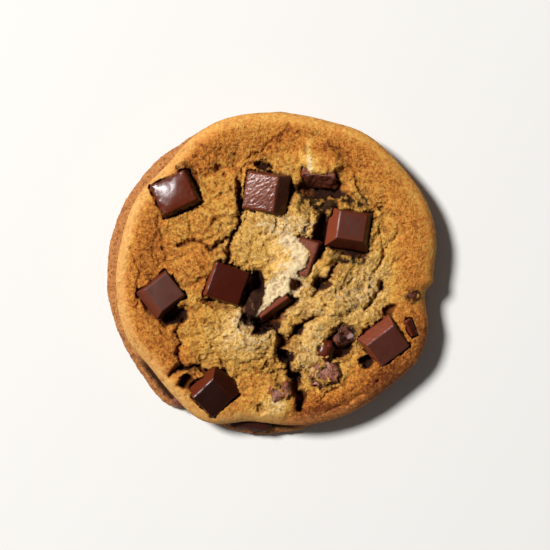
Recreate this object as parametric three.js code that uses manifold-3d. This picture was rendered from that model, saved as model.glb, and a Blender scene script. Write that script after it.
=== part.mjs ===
// Chocolate chunk cookie, about 88 mm across and 14 mm tall. One baked round of dough has a rolled
// upper lip over a spread skirt, a smooth browned ring, and a craggy, cracked middle. Chocolate
// chunks are set in its top and in its side, each in a pocket of its own.
// Units are millimetres, +Z is up, and the cookie stands on z = 0 with its middle on the Z axis.

import * as THREE from "three";
import { mergeVertices } from "three/addons/utils/BufferGeometryUtils.js";
import { ConvexGeometry } from "three/addons/geometries/ConvexGeometry.js";
import Module from "manifold-3d";

const wasm = await Module();
wasm.setup();

// Heights of the rim's profile above the underside
const LIP_HEIGHT = 7.2;
const UNDER_LIP_HEIGHT = 6.0;
const CREASE_HEIGHT = 5.0;
const SKIRT_TOP_HEIGHT = 3.9;
const SKIRT_HEIGHT = 2.4;
const FOOT_HEIGHT = 0.9;

// How far the levels next to the crease stand back, as shares of the way in to the crease, and how
// far the foot and the underside stand back from the skirt
const UNDER_LIP_SHARE = 0.35;
const SKIRT_TOP_SHARE = 0.35;
const FOOT_INSET = 0.4;
const UNDERSIDE_INSET = 1.6;

// Reach of the upper lip from the middle, as [bearing in degrees, millimetres]
const LIP_REACH = [
  [0, 42.9], [12, 44.7], [24, 45.3], [40, 44.6], [56, 44.5], [70, 42.9], [90, 42.5], [110, 42.5],
  [122, 41.2], [134, 39.7], [151, 40.7], [168, 40.6], [186, 41.3], [205, 41.9], [218, 40.7],
  [232, 41.7], [243, 43.2], [250, 42.6], [260, 40.0], [268, 39.8], [282, 41.3], [300, 42.7],
  [316, 43.5], [330, 45.2], [341, 44.0], [348, 41.8], [353, 41.1], [357, 43.0],
];

// Reach of the lower skirt, which shows beyond the lip at the left and at the bottom
const SKIRT_REACH = [
  [0, 42.1], [12, 43.9], [24, 44.5], [40, 43.8], [56, 43.6], [70, 42.4], [84, 42.9], [100, 42.6],
  [112, 42.4], [126, 42.3], [140, 42.9], [160, 43.4], [172, 44.0], [190, 43.8], [204, 43.7],
  [218, 44.0], [229, 44.7], [234, 44.1], [239, 41.9], [246, 41.9], [254, 43.0], [262, 43.3],
  [270, 42.9], [280, 42.4], [290, 42.0], [304, 42.0], [316, 42.6], [330, 44.2], [341, 43.1],
  [349, 41.0], [354, 40.4],
];

// Depth of the crease between lip and skirt, behind whichever reaches less
const CREASE_DEPTH = [
  [0, 0.3], [60, 0.3], [120, 0.6], [170, 0.5], [205, 0.9], [222, 2.8], [232, 2.6], [242, 0.8],
  [252, 1.6], [262, 2.8], [276, 2.4], [292, 0.8], [330, 0.3],
];
const CREASE_WAVER = 0.55;
const CREASE_WAVER_SIZE = 9;

// Broad form of the top, by the share of the lip's reach
const RIM_RISE = 4.0;
const SHOULDER_SHARE = 0.14;
const VALLEY_RING = 0.7;
const VALLEY_SPREAD = 0.08;
const VALLEY_DEPTH = 0.6;
const DOME_RISE = 1.7;
const DOME_OUTER_RING = 0.75;
const DOME_INNER_RING = 0.3;

// The craggy middle: broken plates with sunken seams, and finer unevenness
const CRAG_OUTER_RING = 0.88;
const CRAG_INNER_RING = 0.7;
const CRAG_WANDER = 0.08;
const CRAG_WANDER_SIZE = 13;
const PLATE_SIZE = 7.5;
const PLATE_STEP = 0.7;
const SEAM_DEPTH = 0.7;
const SEAM_WIDTH = 1.4;
const LUMPINESS = 0.36;
const LUMPINESS_AT_RIM = 0.18;
const LUMP_SIZE = 4.5;
const EDGE_CALM_RING = 0.92;
const LOWEST_TOP = 5.5;
const SIDE_WAVER = 0.3;
const SIDE_WAVER_SIZE = 5;
const SIDE_WAVERS_AROUND = 54;

// How far the cracks, hollows and plates bend from their drawn lines, and over what length
const BEND = 0.7;
const BEND_SIZE = 2.5;

// Cracks in the top, each with its width and depth and the places that it runs through
const CRACKS = [
  { width: 1.1, depth: 2.6, path: [[-7.5, 18], [-10.5, 11], [-13, 3.2]] },
  { width: 1.1, depth: 1.6, path: [[-24, 6.8], [-20, 9.2], [-16, 6.3], [-11, 8.8]] },
  { width: 0.9, depth: 0.7, path: [[-30, 14.6], [-28.5, 7.8], [-27, 2.3]] },
  { width: 1.0, depth: 1.6, path: [[-24, -12], [-24.9, -15.8], [-23.4, -18.5], [-24.5, -22]] },
  { width: 1.0, depth: 1.7, path: [[-24.5, -22], [-23.7, -24.6], [-26.2, -26], [-27.5, -27.8]] },
  { width: 1.1, depth: 2.4, path: [[-24.5, -25.3], [-20, -25], [-17.5, -25.6]] },
  { width: 1.2, depth: 3, path: [[-4.5, -12], [-1.2, -14.9], [0.8, -14.9], [2.9, -18.2]] },
  { width: 1.2, depth: 3, path: [[2.9, -18.2], [2.3, -20.3], [4.9, -22.9], [4.8, -26], [6.7, -27.6]] },
  { width: 1.4, depth: 3.4, path: [[6.7, -27.6], [6.3, -30.6], [8.7, -32.8], [7.7, -36]] },
  { width: 1.0, depth: 2.0, path: [[3, -19.3], [8.5, -13.3], [12, -11.5]] },
  { width: 1.0, depth: 1.8, path: [[17, 2.6], [12.5, -3.3], [11, -6.3]] },
  { width: 0.8, depth: 1.4, path: [[24.9, -10.1], [28.1, -5.6], [29.5, -3]] },
  { width: 0.8, depth: 0.9, path: [[-6.5, 29.2], [-1.5, 33.2], [5.5, 39]] },
  { width: 0.8, depth: 1.1, path: [[-24.5, 28], [-21.5, 23.5], [-18.5, 18.5]] },
  { width: 0.8, depth: 0.9, path: [[21, 27.6], [22.5, 25], [24.5, 20]] },
  { width: 0.8, depth: 0.9, path: [[14.5, -36.8], [19.5, -35.3], [24, -32.8]] },
];

// Hollows and raised plates, as places, half sizes, turn in degrees and change of height
const HOLLOWS = [
  { at: [-5.1, -6.7], half: [7, 2.3], turn: 76, rise: -5 },
  { at: [-25.2, -11.5], half: [3.8, 2.3], turn: 36, rise: -4 },
  { at: [13.2, 9.2], half: [5.8, 1.8], turn: 82, rise: -5 },
  { at: [20.6, 5.2], half: [5, 1.6], turn: -7, rise: -3 },
  { at: [12.4, 22], half: [5.6, 2.5], turn: 2, rise: -4.4 },
  { at: [-8.1, 20.3], half: [4.4, 1.2], turn: 100, rise: -3.4 },
  { at: [-1.8, 28.1], half: [2.4, 1.2], turn: -8, rise: -2.4 },
  { at: [-21.8, -28.8], half: [2.1, 1.9], turn: 30, rise: -3.4 },
  { at: [18.6, -18], half: [4.4, 3], turn: 62, rise: -3.6 },
  { at: [25.3, -23.3], half: [1.6, 1.5], turn: 0, rise: -3.6 },
  { at: [3.8, -21.9], half: [2.2, 1.8], turn: 20, rise: -2.2 },
  { at: [7.1, -15.4], half: [1.8, 1.6], turn: 0, rise: -2.2 },
  { at: [-1, -13], half: [4.6, 2.2], turn: 36, rise: -3.8 },
  { at: [3.9, -9.1], half: [3.4, 1.4], turn: 34, rise: -3.2 },
  { at: [6.1, -3.2], half: [1.9, 1.3], turn: 10, rise: -3.2 },
  { at: [12.9, -2.9], half: [2.1, 2], turn: 0, rise: -2.2 },
  { at: [31.5, -9.8], half: [1.9, 1.3], turn: 60, rise: -2.4 },
  { at: [8, -33.4], half: [3.3, 1.5], turn: 80, rise: -2.4 },
  { at: [-20.4, 23.7], half: [4.4, 1.2], turn: 115, rise: -1.7 },
  { at: [-23.9, 16.5], half: [4.2, 0.9], turn: 25, rise: -1 },
  { at: [4.4, 20.1], half: [4.8, 1.5], turn: 81, rise: -2.6 },
  { at: [-13.6, -8.8], half: [4.6, 1], turn: -19, rise: -1.4 },
  { at: [-32.6, -8.3], half: [4, 1.2], turn: 128, rise: -1.7 },
  { at: [-18.9, -29.2], half: [3.4, 1.2], turn: 40, rise: -1.8 },
  { at: [-11.2, -29.5], half: [3.8, 1.4], turn: 130, rise: -2.4 },
  { at: [27.6, -14.9], half: [4.4, 1.2], turn: 37, rise: -1.8 },
];
const PLATES = [
  { at: [-1.5, 9], half: [7.5, 5.5], turn: -20, rise: 0.8 },
  { at: [7, 12.6], half: [3.6, 3.2], turn: 0, rise: 0.7 },
  { at: [17, -6], half: [6, 5.5], turn: 30, rise: 0.7 },
  { at: [9, -23], half: [4.2, 5.4], turn: -25, rise: 0.9 },
  { at: [-5.5, -15], half: [6, 4.6], turn: 10, rise: 0.7 },
  { at: [-21.5, 1.8], half: [4.4, 5], turn: 0, rise: 0.7 },
  { at: [2, -35.5], half: [4.6, 4], turn: 0, rise: 0.6 },
];

// Lips of dough that lie over chocolate, as places, half sizes, turn, and the height they rise to
const FLAPS = [
  { at: [13, 30.6], half: [5.4, 4.4], turn: -6, height: 12.7 },
  { at: [4.3, 3.8], half: [4.5, 4.5], turn: -20, height: 13.6 },
  { at: [-0.2, -6.5], half: [6.9, 2.5], turn: 33, height: 13.4 },
];

// The chocolate chunks: blocks whose sides slope from the face down to a drop, then go straight to
// the base. Each has the middle and height of its face, its turn, its lean as [bearing, degrees],
// the width and depth of its base and face, and how far the base is shifted from the face.
// Melted ones have an uneven round outline, drawn from their number.
const CHUNKS = [
  { name: "chunk_upper_left", at: [-26, 21.1, 12.2], turn: 25, lean: [149, 13], base: [11.9, 9.8],
    shift: [0.9, -0.2], face: [9.2, 8.4], drop: 3, tall: 4.8 },
  { name: "chunk_top", at: [-2.4, 21.1, 13.4], turn: -9, lean: [185, 13], base: [12, 11],
    shift: [1.4, -0.1], face: [8, 9.6], drop: 3.4, tall: 5.6 },
  { name: "chunk_upper_right", at: [20.8, 12, 13.4], turn: -9, lean: [50, 5], base: [11.6, 11.2],
    shift: [0.1, -0.9], face: [6.4, 7.3], drop: 3.2, tall: 5.6 },
  { name: "chunk_middle", at: [-11.7, -2.9, 13.9], turn: -19, lean: [300, 3], base: [10.8, 11.7],
    shift: [-0.1, -0.5], face: [9.4, 9.6], drop: 2.6, tall: 5.8 },
  { name: "chunk_left", at: [-28.3, -5, 12.7], turn: 38, lean: [40, 7], base: [10.6, 9.4],
    shift: [-1.05, 0], face: [7.5, 7.5], drop: 3, tall: 5.4 },
  { name: "chunk_lower_left", at: [-15.4, -33.1, 11.9], turn: 40, lean: [250, 9], base: [10.8, 10.2],
    shift: [1.2, 0.7], face: [7, 7], drop: 3, tall: 4.6 },
  { name: "chunk_lower_right", at: [30.8, -19.2, 12.2], turn: 37, lean: [315, 11], base: [10.6, 10],
    shift: [0, 0.8], face: [9.1, 7.2], drop: 3, tall: 5 },
  { name: "chunk_right_small", at: [37.1, -14.7, 11.5], turn: 114, lean: [350, 14], base: [5, 2.2],
    shift: [0, 0], face: [4.6, 1.7], drop: 2, tall: 3.4 },
  { name: "chunk_under_cap", at: [12.8, 29.2, 10.2], turn: -5, lean: [88, 24], base: [11, 10.4],
    shift: [0, 0], face: [8.8, 8.4], drop: 4, tall: 5.4 },
  { name: "chunk_under_centre", at: [5.7, 4.5, 12.6], turn: -20, lean: [200, 3], base: [11, 11],
    shift: [0, 0], face: [9.4, 9.4], drop: 3, tall: 5.2 },
  { name: "chunk_under_flap", at: [0.3, -6.7, 12.2], turn: 36, lean: [130, 8], base: [8.6, 6.2],
    shift: [0.1, -0.6], face: [7.8, 4.6], drop: 2.4, tall: 5.2 },
  { name: "chunk_lower_bead", at: [13.6, -20.3, 12.6], turn: 70, lean: [150, 10], base: [5.4, 4.6],
    shift: [0, 0], face: [4, 3.2], drop: 1.6, tall: 4.2, melted: 1 },
  { name: "chunk_lower_smear", at: [13.8, -26.8, 12.1], turn: 24, lean: [150, 6], base: [8, 6.4],
    shift: [0, 0], face: [6.4, 4.8], drop: 1.6, tall: 4.4, melted: 2 },
  { name: "chunk_bottom_small", at: [2.4, -31.5, 12.2], turn: 15, lean: [120, 6], base: [6.2, 5.2],
    shift: [0, 0], face: [4.6, 3.6], drop: 1.6, tall: 4, melted: 3 },
  { name: "chunk_in_hollow", at: [19.8, -17.2, 10.6], turn: 64, lean: [180, 5], base: [7.6, 5.4],
    shift: [0, 0], face: [6, 4], drop: 1.6, tall: 4, melted: 4 },
  { name: "chunk_notch", at: [37.3, -6.4, 10.6], turn: 12, lean: [0, 20], base: [4.8, 4.6],
    shift: [0, 0], face: [3.6, 3.4], drop: 1.6, tall: 3.8, melted: 5 },
  { name: "chunk_foot", at: [-5.6, -40.6, 5.9], turn: -2, lean: [268, 28], base: [10.4, 3.6],
    shift: [0, 0], face: [9.4, 2.6], drop: 1.6, tall: 3, melted: 6 },
  { name: "chunk_side_spot", at: [-24.4, -33.9, 5.6], turn: -36, lean: [234, 50], base: [3.2, 2.2],
    shift: [0, 0], face: [2.8, 1.8], drop: 1.6, tall: 2.6, melted: 7 },
];
const CHUNK_BEVEL = 0.5;
const MELTED_CORNERS = 10;
const MELTED_REACH = 1.12;
const MELTED_UNEVENNESS = 0.26;
const POCKET_GAP = 0.32;

// Fineness of the dough's surface
const TOP_RINGS = 32;
const RING_CROWDING = 0.12;
const RING_CROWDING_POWER = 6;

// Seeds of the uneven forms
const SEED_WANDER = 11;
const SEED_PLATES = 23;
const SEED_LUMPS = 37;
const SEED_BEND = 41;
const SEED_SIDE = 53;
const SEED_CREASE = 61;
const SEED_MELT = 67;

const DEGREE = Math.PI / 180;

function clamp(value, low, high) {
  return Math.min(high, Math.max(low, value));
}

function smoothstep(from, to, value) {
  const t = clamp((value - from) / (to - from), 0, 1);
  return t * t * (3 - 2 * t);
}

// A fixed draw between 0 and 1 for a whole-number place and a seed
function draw(i, j, seed) {
  let h = (Math.imul(i, 374761393) + Math.imul(j, 668265263) + Math.imul(seed, 1274126177)) | 0;
  h = Math.imul(h ^ (h >>> 13), 1274126177);
  return ((h ^ (h >>> 16)) >>> 0) / 4294967296;
}

// Smooth noise between -1 and 1
function noise(x, y, seed) {
  const i = Math.floor(x);
  const j = Math.floor(y);
  const u = smoothstep(0, 1, x - i);
  const v = smoothstep(0, 1, y - j);
  const low = draw(i, j, seed) * (1 - u) + draw(i + 1, j, seed) * u;
  const high = draw(i, j + 1, seed) * (1 - u) + draw(i + 1, j + 1, seed) * u;
  return 2 * (low * (1 - v) + high * v) - 1;
}

// Three octaves of the smooth noise
function roughNoise(x, y, seed) {
  return (noise(x, y, seed) + 0.5 * noise(2 * x, 2 * y, seed + 1)
    + 0.25 * noise(4 * x, 4 * y, seed + 2)) / 1.75;
}

// The scattered cell that a place falls in: the cell's own draw, and how far the nearest seam is
function cellAt(x, y, seed) {
  let nearest = Infinity;
  let second = Infinity;
  let own = 0;
  const column = Math.floor(x);
  const row = Math.floor(y);
  for (let i = column - 1; i <= column + 1; i += 1) {
    for (let j = row - 1; j <= row + 1; j += 1) {
      const gap = Math.hypot(i + draw(i, j, seed) - x, j + draw(i, j, seed + 1) - y);
      if (gap < nearest) {
        second = nearest;
        nearest = gap;
        own = draw(i, j, seed + 2);
      } else if (gap < second) {
        second = gap;
      }
    }
  }
  return { own, toSeam: second - nearest };
}

// A smooth closed curve through [bearing, value] pairs
function around(pairs, bearing) {
  const turn = ((bearing % 360) + 360) % 360;
  const count = pairs.length;
  let after = pairs.findIndex(([angle]) => angle > turn);
  if (after < 0) {
    after = count;
  }
  const angleAt = (k) => pairs[((k % count) + count) % count][0] + 360 * Math.floor(k / count);
  const valueAt = (k) => pairs[((k % count) + count) % count][1];
  const slopeAt = (k) => (valueAt(k + 1) - valueAt(k - 1)) / (angleAt(k + 1) - angleAt(k - 1));
  const start = after - 1;
  const span = angleAt(after) - angleAt(start);
  const t = (turn - angleAt(start)) / span;
  return valueAt(start) * (1 - t) ** 2 * (1 + 2 * t) + valueAt(after) * t * t * (3 - 2 * t)
    + span * t * (1 - t) * (slopeAt(start) * (1 - t) - slopeAt(after) * t);
}

// Distance from a place to a path of straight runs
function distanceToPath(x, y, path) {
  let best = Infinity;
  for (let k = 1; k < path.length; k += 1) {
    const [x0, y0] = path[k - 1];
    const dx = path[k][0] - x0;
    const dy = path[k][1] - y0;
    const t = clamp(((x - x0) * dx + (y - y0) * dy) / (dx * dx + dy * dy), 0, 1);
    best = Math.min(best, Math.hypot(x - x0 - t * dx, y - y0 - t * dy));
  }
  return best;
}

// A flat-topped round patch: near 1 inside its half sizes, falling to 0 outside
function patch(x, y, { at, half, turn }) {
  const dx = x - at[0];
  const dy = y - at[1];
  const c = Math.cos(turn * DEGREE);
  const s = Math.sin(turn * DEGREE);
  const along = (dx * c + dy * s) / half[0];
  const across = (dy * c - dx * s) / half[1];
  return 1 / (1 + (along * along + across * across) ** 3);
}

// Height of the dough's top at a place, with its shoulder, dome, plates, cracks and hollows
function topHeight(x, y, bearing) {
  const ring = Math.hypot(x, y) / around(LIP_REACH, bearing);
  const shoulder = clamp((1 - ring) / SHOULDER_SHARE, 0, 1);
  const fromValley = (ring - VALLEY_RING) / VALLEY_SPREAD;
  const form = LIP_HEIGHT + RIM_RISE * Math.sqrt(1 - (1 - shoulder) ** 2)
    - VALLEY_DEPTH * Math.exp(-fromValley * fromValley)
    + DOME_RISE * smoothstep(DOME_OUTER_RING, DOME_INNER_RING, ring);

  const wander = CRAG_WANDER * noise(x / CRAG_WANDER_SIZE, y / CRAG_WANDER_SIZE, SEED_WANDER);
  const craggy = smoothstep(CRAG_OUTER_RING, CRAG_INNER_RING, ring + wander);
  const plate = cellAt(x / PLATE_SIZE, y / PLATE_SIZE, SEED_PLATES);
  const seam = Math.exp(-((plate.toSeam * PLATE_SIZE / SEAM_WIDTH) ** 2));
  let relief = craggy * (PLATE_STEP * (plate.own - 0.5) - SEAM_DEPTH * seam)
    + (LUMPINESS_AT_RIM + (LUMPINESS - LUMPINESS_AT_RIM) * craggy)
    * roughNoise(x / LUMP_SIZE, y / LUMP_SIZE, SEED_LUMPS);

  const bentX = x + BEND * noise(x / BEND_SIZE, y / BEND_SIZE, SEED_BEND);
  const bentY = y + BEND * noise(x / BEND_SIZE, y / BEND_SIZE, SEED_BEND + 1);
  for (const { width, depth, path } of CRACKS) {
    relief -= depth * Math.exp(-((distanceToPath(bentX, bentY, path) / width) ** 2));
  }
  for (const form of [...PLATES, ...HOLLOWS]) {
    relief += form.rise * patch(bentX, bentY, form);
  }
  const calm = smoothstep(1, EDGE_CALM_RING, ring);
  let height = Math.max(LOWEST_TOP, form + calm * relief);
  for (const flap of FLAPS) {
    height += Math.max(0, flap.height - height) * patch(bentX, bentY, flap);
  }
  return height;
}

// The levels of the side below the lip, each as reach and height for a bearing
function sideLevels(bearing) {
  const lip = around(LIP_REACH, bearing);
  const skirt = around(SKIRT_REACH, bearing);
  const crease = Math.min(lip, skirt) - around(CREASE_DEPTH, bearing);
  const creaseHeight = CREASE_HEIGHT
    + CREASE_WAVER * noise(lip * Math.cos(bearing * DEGREE) / CREASE_WAVER_SIZE,
      lip * Math.sin(bearing * DEGREE) / CREASE_WAVER_SIZE, SEED_CREASE);
  return [
    [lip - UNDER_LIP_SHARE * (lip - crease), UNDER_LIP_HEIGHT],
    [crease, creaseHeight],
    [skirt - SKIRT_TOP_SHARE * (skirt - crease), SKIRT_TOP_HEIGHT],
    [skirt, SKIRT_HEIGHT],
    [skirt - FOOT_INSET, FOOT_HEIGHT],
    [skirt - UNDERSIDE_INSET, 0],
  ];
}

// The solid dough: rings of the top from the middle out to the lip, the side's levels, and the
// flat underside
function doughGeometry() {
  const points = [[0, 0, topHeight(0, 0, 0)]];
  const faces = [];
  const ringStart = (k) => (k === 0 ? 0 : 1 + 3 * k * (k - 1));
  for (let k = 1; k <= TOP_RINGS; k += 1) {
    const t = k / TOP_RINGS;
    const share = t * (1 + RING_CROWDING * (1 - t ** RING_CROWDING_POWER));
    for (let j = 0; j < 6 * k; j += 1) {
      const bearing = (360 * j) / (6 * k);
      const reach = share * around(LIP_REACH, bearing);
      const x = reach * Math.cos(bearing * DEGREE);
      const y = reach * Math.sin(bearing * DEGREE);
      points.push([x, y, topHeight(x, y, bearing)]);
    }
    const inner = (j) => ringStart(k - 1) + (k === 1 ? 0 : j % (6 * (k - 1)));
    const outer = (j) => ringStart(k) + (j % (6 * k));
    for (let sector = 0; sector < 6; sector += 1) {
      for (let j = 0; j < k; j += 1) {
        const o = sector * k + j;
        const i = sector * (k - 1) + j;
        faces.push([inner(i), outer(o), outer(o + 1)]);
        if (j < k - 1) {
          faces.push([inner(i), outer(o + 1), inner(i + 1)]);
        }
      }
    }
  }

  const rimCount = 6 * TOP_RINGS;
  let upper = ringStart(TOP_RINGS);
  for (let level = 0; level < sideLevels(0).length; level += 1) {
    const lower = points.length;
    for (let j = 0; j < rimCount; j += 1) {
      const bearing = (360 * j) / rimCount;
      const [reach, height] = sideLevels(bearing)[level];
      const place = (bearing / 360) * SIDE_WAVERS_AROUND;
      const waver = height > 0 ? SIDE_WAVER * noise(place, height / SIDE_WAVER_SIZE, SEED_SIDE) : 0;
      points.push([(reach + waver) * Math.cos(bearing * DEGREE),
        (reach + waver) * Math.sin(bearing * DEGREE), height]);
    }
    for (let j = 0; j < rimCount; j += 1) {
      const next = (j + 1) % rimCount;
      faces.push([upper + j, lower + j, lower + next], [upper + j, lower + next, upper + next]);
    }
    upper = lower;
  }
  const middle = points.length;
  points.push([0, 0, 0]);
  for (let j = 0; j < rimCount; j += 1) {
    faces.push([middle, upper + ((j + 1) % rimCount), upper + j]);
  }

  const geometry = new THREE.BufferGeometry();
  geometry.setAttribute("position", new THREE.Float32BufferAttribute(points.flat(), 3));
  geometry.setIndex(faces.flat());
  return geometry;
}

// The corners of a chunk's outline at one level: a rectangle with its corners cut off, or the uneven
// round of a melted chunk
function outlineCorners(width, depth, melted) {
  if (melted) {
    return Array.from({ length: MELTED_CORNERS }, (_, k) => {
      const bearing = (2 * Math.PI * k) / MELTED_CORNERS;
      const reach = MELTED_REACH - MELTED_UNEVENNESS * draw(k, melted, SEED_MELT);
      return [reach * width / 2 * Math.cos(bearing), reach * depth / 2 * Math.sin(bearing)];
    });
  }
  const cut = Math.min(CHUNK_BEVEL, width / 6, depth / 6);
  const corners = [];
  for (const sx of [-1, 1]) {
    for (const sy of [-1, 1]) {
      corners.push([sx * (width / 2 - cut), sy * depth / 2], [sx * width / 2, sy * (depth / 2 - cut)]);
    }
  }
  return corners;
}

// A chunk's block with the middle of its face at the origin, grown on every side by a margin
function chunkGeometry({ base, shift, face, drop, tall, melted }, margin) {
  const bevel = Math.min(CHUNK_BEVEL, face[1] / 6);
  const levels = [
    { size: face, inset: bevel, middle: [0, 0], z: margin },
    { size: face, inset: 0, middle: [0, 0], z: margin - bevel },
    { size: base, inset: 0, middle: shift, z: -drop },
    { size: base, inset: 0, middle: shift, z: bevel - tall - margin },
    { size: base, inset: bevel, middle: shift, z: -tall - margin },
  ];
  const corners = [];
  for (const { size, inset, middle, z } of levels) {
    const grow = 2 * (margin - inset);
    for (const [x, y] of outlineCorners(size[0] + grow, size[1] + grow, melted)) {
      corners.push(new THREE.Vector3(x + middle[0], y + middle[1], z));
    }
  }
  const geometry = new ConvexGeometry(corners);
  geometry.deleteAttribute("normal");
  return mergeVertices(geometry, 1e-4);
}

// Turns a chunk about Z, then leans its top towards a bearing, and sets it in its place
function placeChunk(object, { at, turn, lean }) {
  const [bearing, angle] = lean;
  const hinge = new THREE.Vector3(-Math.sin(bearing * DEGREE), Math.cos(bearing * DEGREE), 0);
  const turned = new THREE.Quaternion().setFromAxisAngle(new THREE.Vector3(0, 0, 1), turn * DEGREE);
  object.position.set(...at);
  object.quaternion.setFromAxisAngle(hinge, angle * DEGREE).multiply(turned);
  object.updateMatrixWorld();
}

function toManifold(geometry) {
  return new wasm.Manifold(new wasm.Mesh({
    numProp: 3,
    vertProperties: new Float32Array(geometry.getAttribute("position").array),
    triVerts: new Uint32Array(geometry.getIndex().array),
  }));
}

function fromManifold(solid) {
  const { vertProperties, triVerts } = solid.getMesh();
  const geometry = new THREE.BufferGeometry();
  geometry.setAttribute("position", new THREE.Float32BufferAttribute(vertProperties, 3));
  geometry.setIndex([...triVerts]);
  return geometry;
}

// The dough with a pocket cut for each chunk, a little larger than the chunk, without the loose
// scraps that a cut leaves
function pocketedDough() {
  let solid = toManifold(doughGeometry());
  for (const chunk of CHUNKS) {
    const pocket = new THREE.Mesh(chunkGeometry(chunk, POCKET_GAP));
    placeChunk(pocket, chunk);
    solid = solid.subtract(toManifold(pocket.geometry.applyMatrix4(pocket.matrixWorld)));
  }
  const pieces = solid.decompose();
  return fromManifold(pieces.reduce((a, b) => (b.volume() > a.volume() ? b : a)));
}

const bakedDough = new THREE.MeshStandardMaterial({ color: 0xc48a48, roughness: 0.85, metalness: 0 });

const cookie = new THREE.Group();
const dough = new THREE.Mesh(pocketedDough(), bakedDough);
dough.name = "dough";
cookie.add(dough);

for (const chunk of CHUNKS) {
  const darkChocolate = new THREE.MeshStandardMaterial({ color: 0x3a1a0c, roughness: 0.4, metalness: 0 });
  const mesh = new THREE.Mesh(chunkGeometry(chunk, 0), darkChocolate);
  mesh.name = chunk.name;
  placeChunk(mesh, chunk);
  cookie.add(mesh);
}

export default cookie;
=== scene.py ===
import math

import bpy
import numpy as np
from bpy.props import FloatProperty, FloatVectorProperty, IntProperty, PointerProperty
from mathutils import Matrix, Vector


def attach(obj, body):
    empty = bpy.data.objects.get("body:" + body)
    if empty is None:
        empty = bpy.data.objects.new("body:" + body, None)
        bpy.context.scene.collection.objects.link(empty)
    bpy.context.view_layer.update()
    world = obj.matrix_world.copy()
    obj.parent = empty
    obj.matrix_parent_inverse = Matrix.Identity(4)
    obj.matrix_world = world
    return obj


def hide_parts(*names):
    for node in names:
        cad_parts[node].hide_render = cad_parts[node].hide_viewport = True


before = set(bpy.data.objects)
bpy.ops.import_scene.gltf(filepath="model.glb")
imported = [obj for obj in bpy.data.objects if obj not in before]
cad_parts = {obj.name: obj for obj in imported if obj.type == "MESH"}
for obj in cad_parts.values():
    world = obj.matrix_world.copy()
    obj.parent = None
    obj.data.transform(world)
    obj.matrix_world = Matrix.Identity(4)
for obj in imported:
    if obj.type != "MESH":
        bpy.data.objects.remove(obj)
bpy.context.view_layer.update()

bl_info = {
    "name": "Chocolate chip cookie",
    "version": (1, 0, 0),
    "blender": (4, 5, 0),
    "location": "3D View > Sidebar > Cookie",
    "description": "A thick cookie with a craggy crumb and dark chocolate chunks",
    "category": "Object",
}

# Lengths in the tables and in the shaping functions are millimetres, in the frame's own axes.
# Meshes and properties are in metres.
MM = 0.001
DEGREE = math.pi / 180

# Heights of the rim's profile above the underside
LIP_HEIGHT = 7.2
UNDER_LIP_HEIGHT = 6.0
CREASE_HEIGHT = 5.0
SKIRT_TOP_HEIGHT = 3.9
SKIRT_HEIGHT = 2.4
FOOT_HEIGHT = 0.9

# How far the profile's levels stand back, as shares of the way in to the crease or as lengths
UNDER_LIP_SHARE = 0.35
SKIRT_TOP_SHARE = 0.35
FOOT_INSET = 0.4
UNDERSIDE_INSET = 1.6

# Reach of the upper lip from the middle, as (bearing in degrees, length)
LIP_REACH = (
    (0, 42.9), (12, 44.7), (24, 45.3), (40, 44.6), (56, 44.5), (70, 42.9), (90, 42.5), (110, 42.5),
    (122, 41.2), (134, 39.7), (151, 40.7), (168, 40.6), (186, 41.3), (205, 41.9), (218, 40.7),
    (232, 41.7), (243, 43.2), (250, 42.6), (260, 40.0), (268, 39.8), (282, 41.3), (300, 42.7),
    (316, 43.5), (330, 45.2), (341, 44.0), (348, 41.8), (353, 41.1), (357, 43.0),
)

# Reach of the lower skirt
SKIRT_REACH = (
    (0, 42.1), (12, 43.9), (24, 44.5), (40, 43.8), (56, 43.6), (70, 42.4), (84, 42.9), (100, 42.6),
    (112, 42.4), (126, 42.3), (140, 42.9), (160, 43.4), (172, 44.0), (190, 43.8), (204, 43.7),
    (218, 44.0), (229, 44.7), (234, 44.1), (239, 41.9), (246, 41.9), (254, 43.0), (262, 43.3),
    (270, 42.9), (280, 42.4), (290, 42.0), (304, 42.0), (316, 42.6), (330, 44.2), (341, 43.1),
    (349, 41.0), (354, 40.4),
)

# Depth of the crease between lip and skirt
CREASE_DEPTH = (
    (0, 0.3), (60, 0.3), (120, 0.6), (170, 0.5), (205, 0.9), (222, 2.8), (232, 2.6), (242, 0.8),
    (252, 1.6), (262, 2.8), (276, 2.4), (292, 0.8), (330, 0.3),
)
CREASE_WAVER = 0.55
CREASE_WAVER_SIZE = 9

# Broad form of the top, by the share of the lip's reach
RIM_RISE = 4.0
SHOULDER_SHARE = 0.14
VALLEY_RING = 0.7
VALLEY_SPREAD = 0.08
VALLEY_DEPTH = 0.6
DOME_RISE = 1.7
DOME_OUTER_RING = 0.75
DOME_INNER_RING = 0.3

# The craggy middle's broken plates
CRAG_OUTER_RING = 0.88
CRAG_INNER_RING = 0.7
CRAG_WANDER = 0.08
CRAG_WANDER_SIZE = 13
PLATE_SIZE = 7.5
PLATE_STEP = 0.7
SEAM_DEPTH = 0.7
SEAM_WIDTH = 1.4
LUMPINESS = 0.36
LUMPINESS_AT_RIM = 0.18
LUMP_SIZE = 4.5
EDGE_CALM_RING = 0.92
LOWEST_TOP = 5.5
SIDE_WAVER = 0.3
SIDE_WAVER_SIZE = 5
SIDE_WAVERS_AROUND = 54

# Ragged edges of cracks, hollows and plates
BEND = 0.7
BEND_SIZE = 2.5
RAGGEDNESS = 0.4
RAGGED_SIZE = 1.1

# How firmly a patch ends at its half sizes, the higher the firmer
SOFT_EDGE = 2
PLAIN_EDGE = 3
FIRM_EDGE = 4
SHARP_EDGE = 5

# A crack is a wide, shallow dip with a narrow cleft in it, as (share of the depth, of the width)
CRACK_SECTION = ((0.4, 1), (0.8, 0.33))

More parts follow.
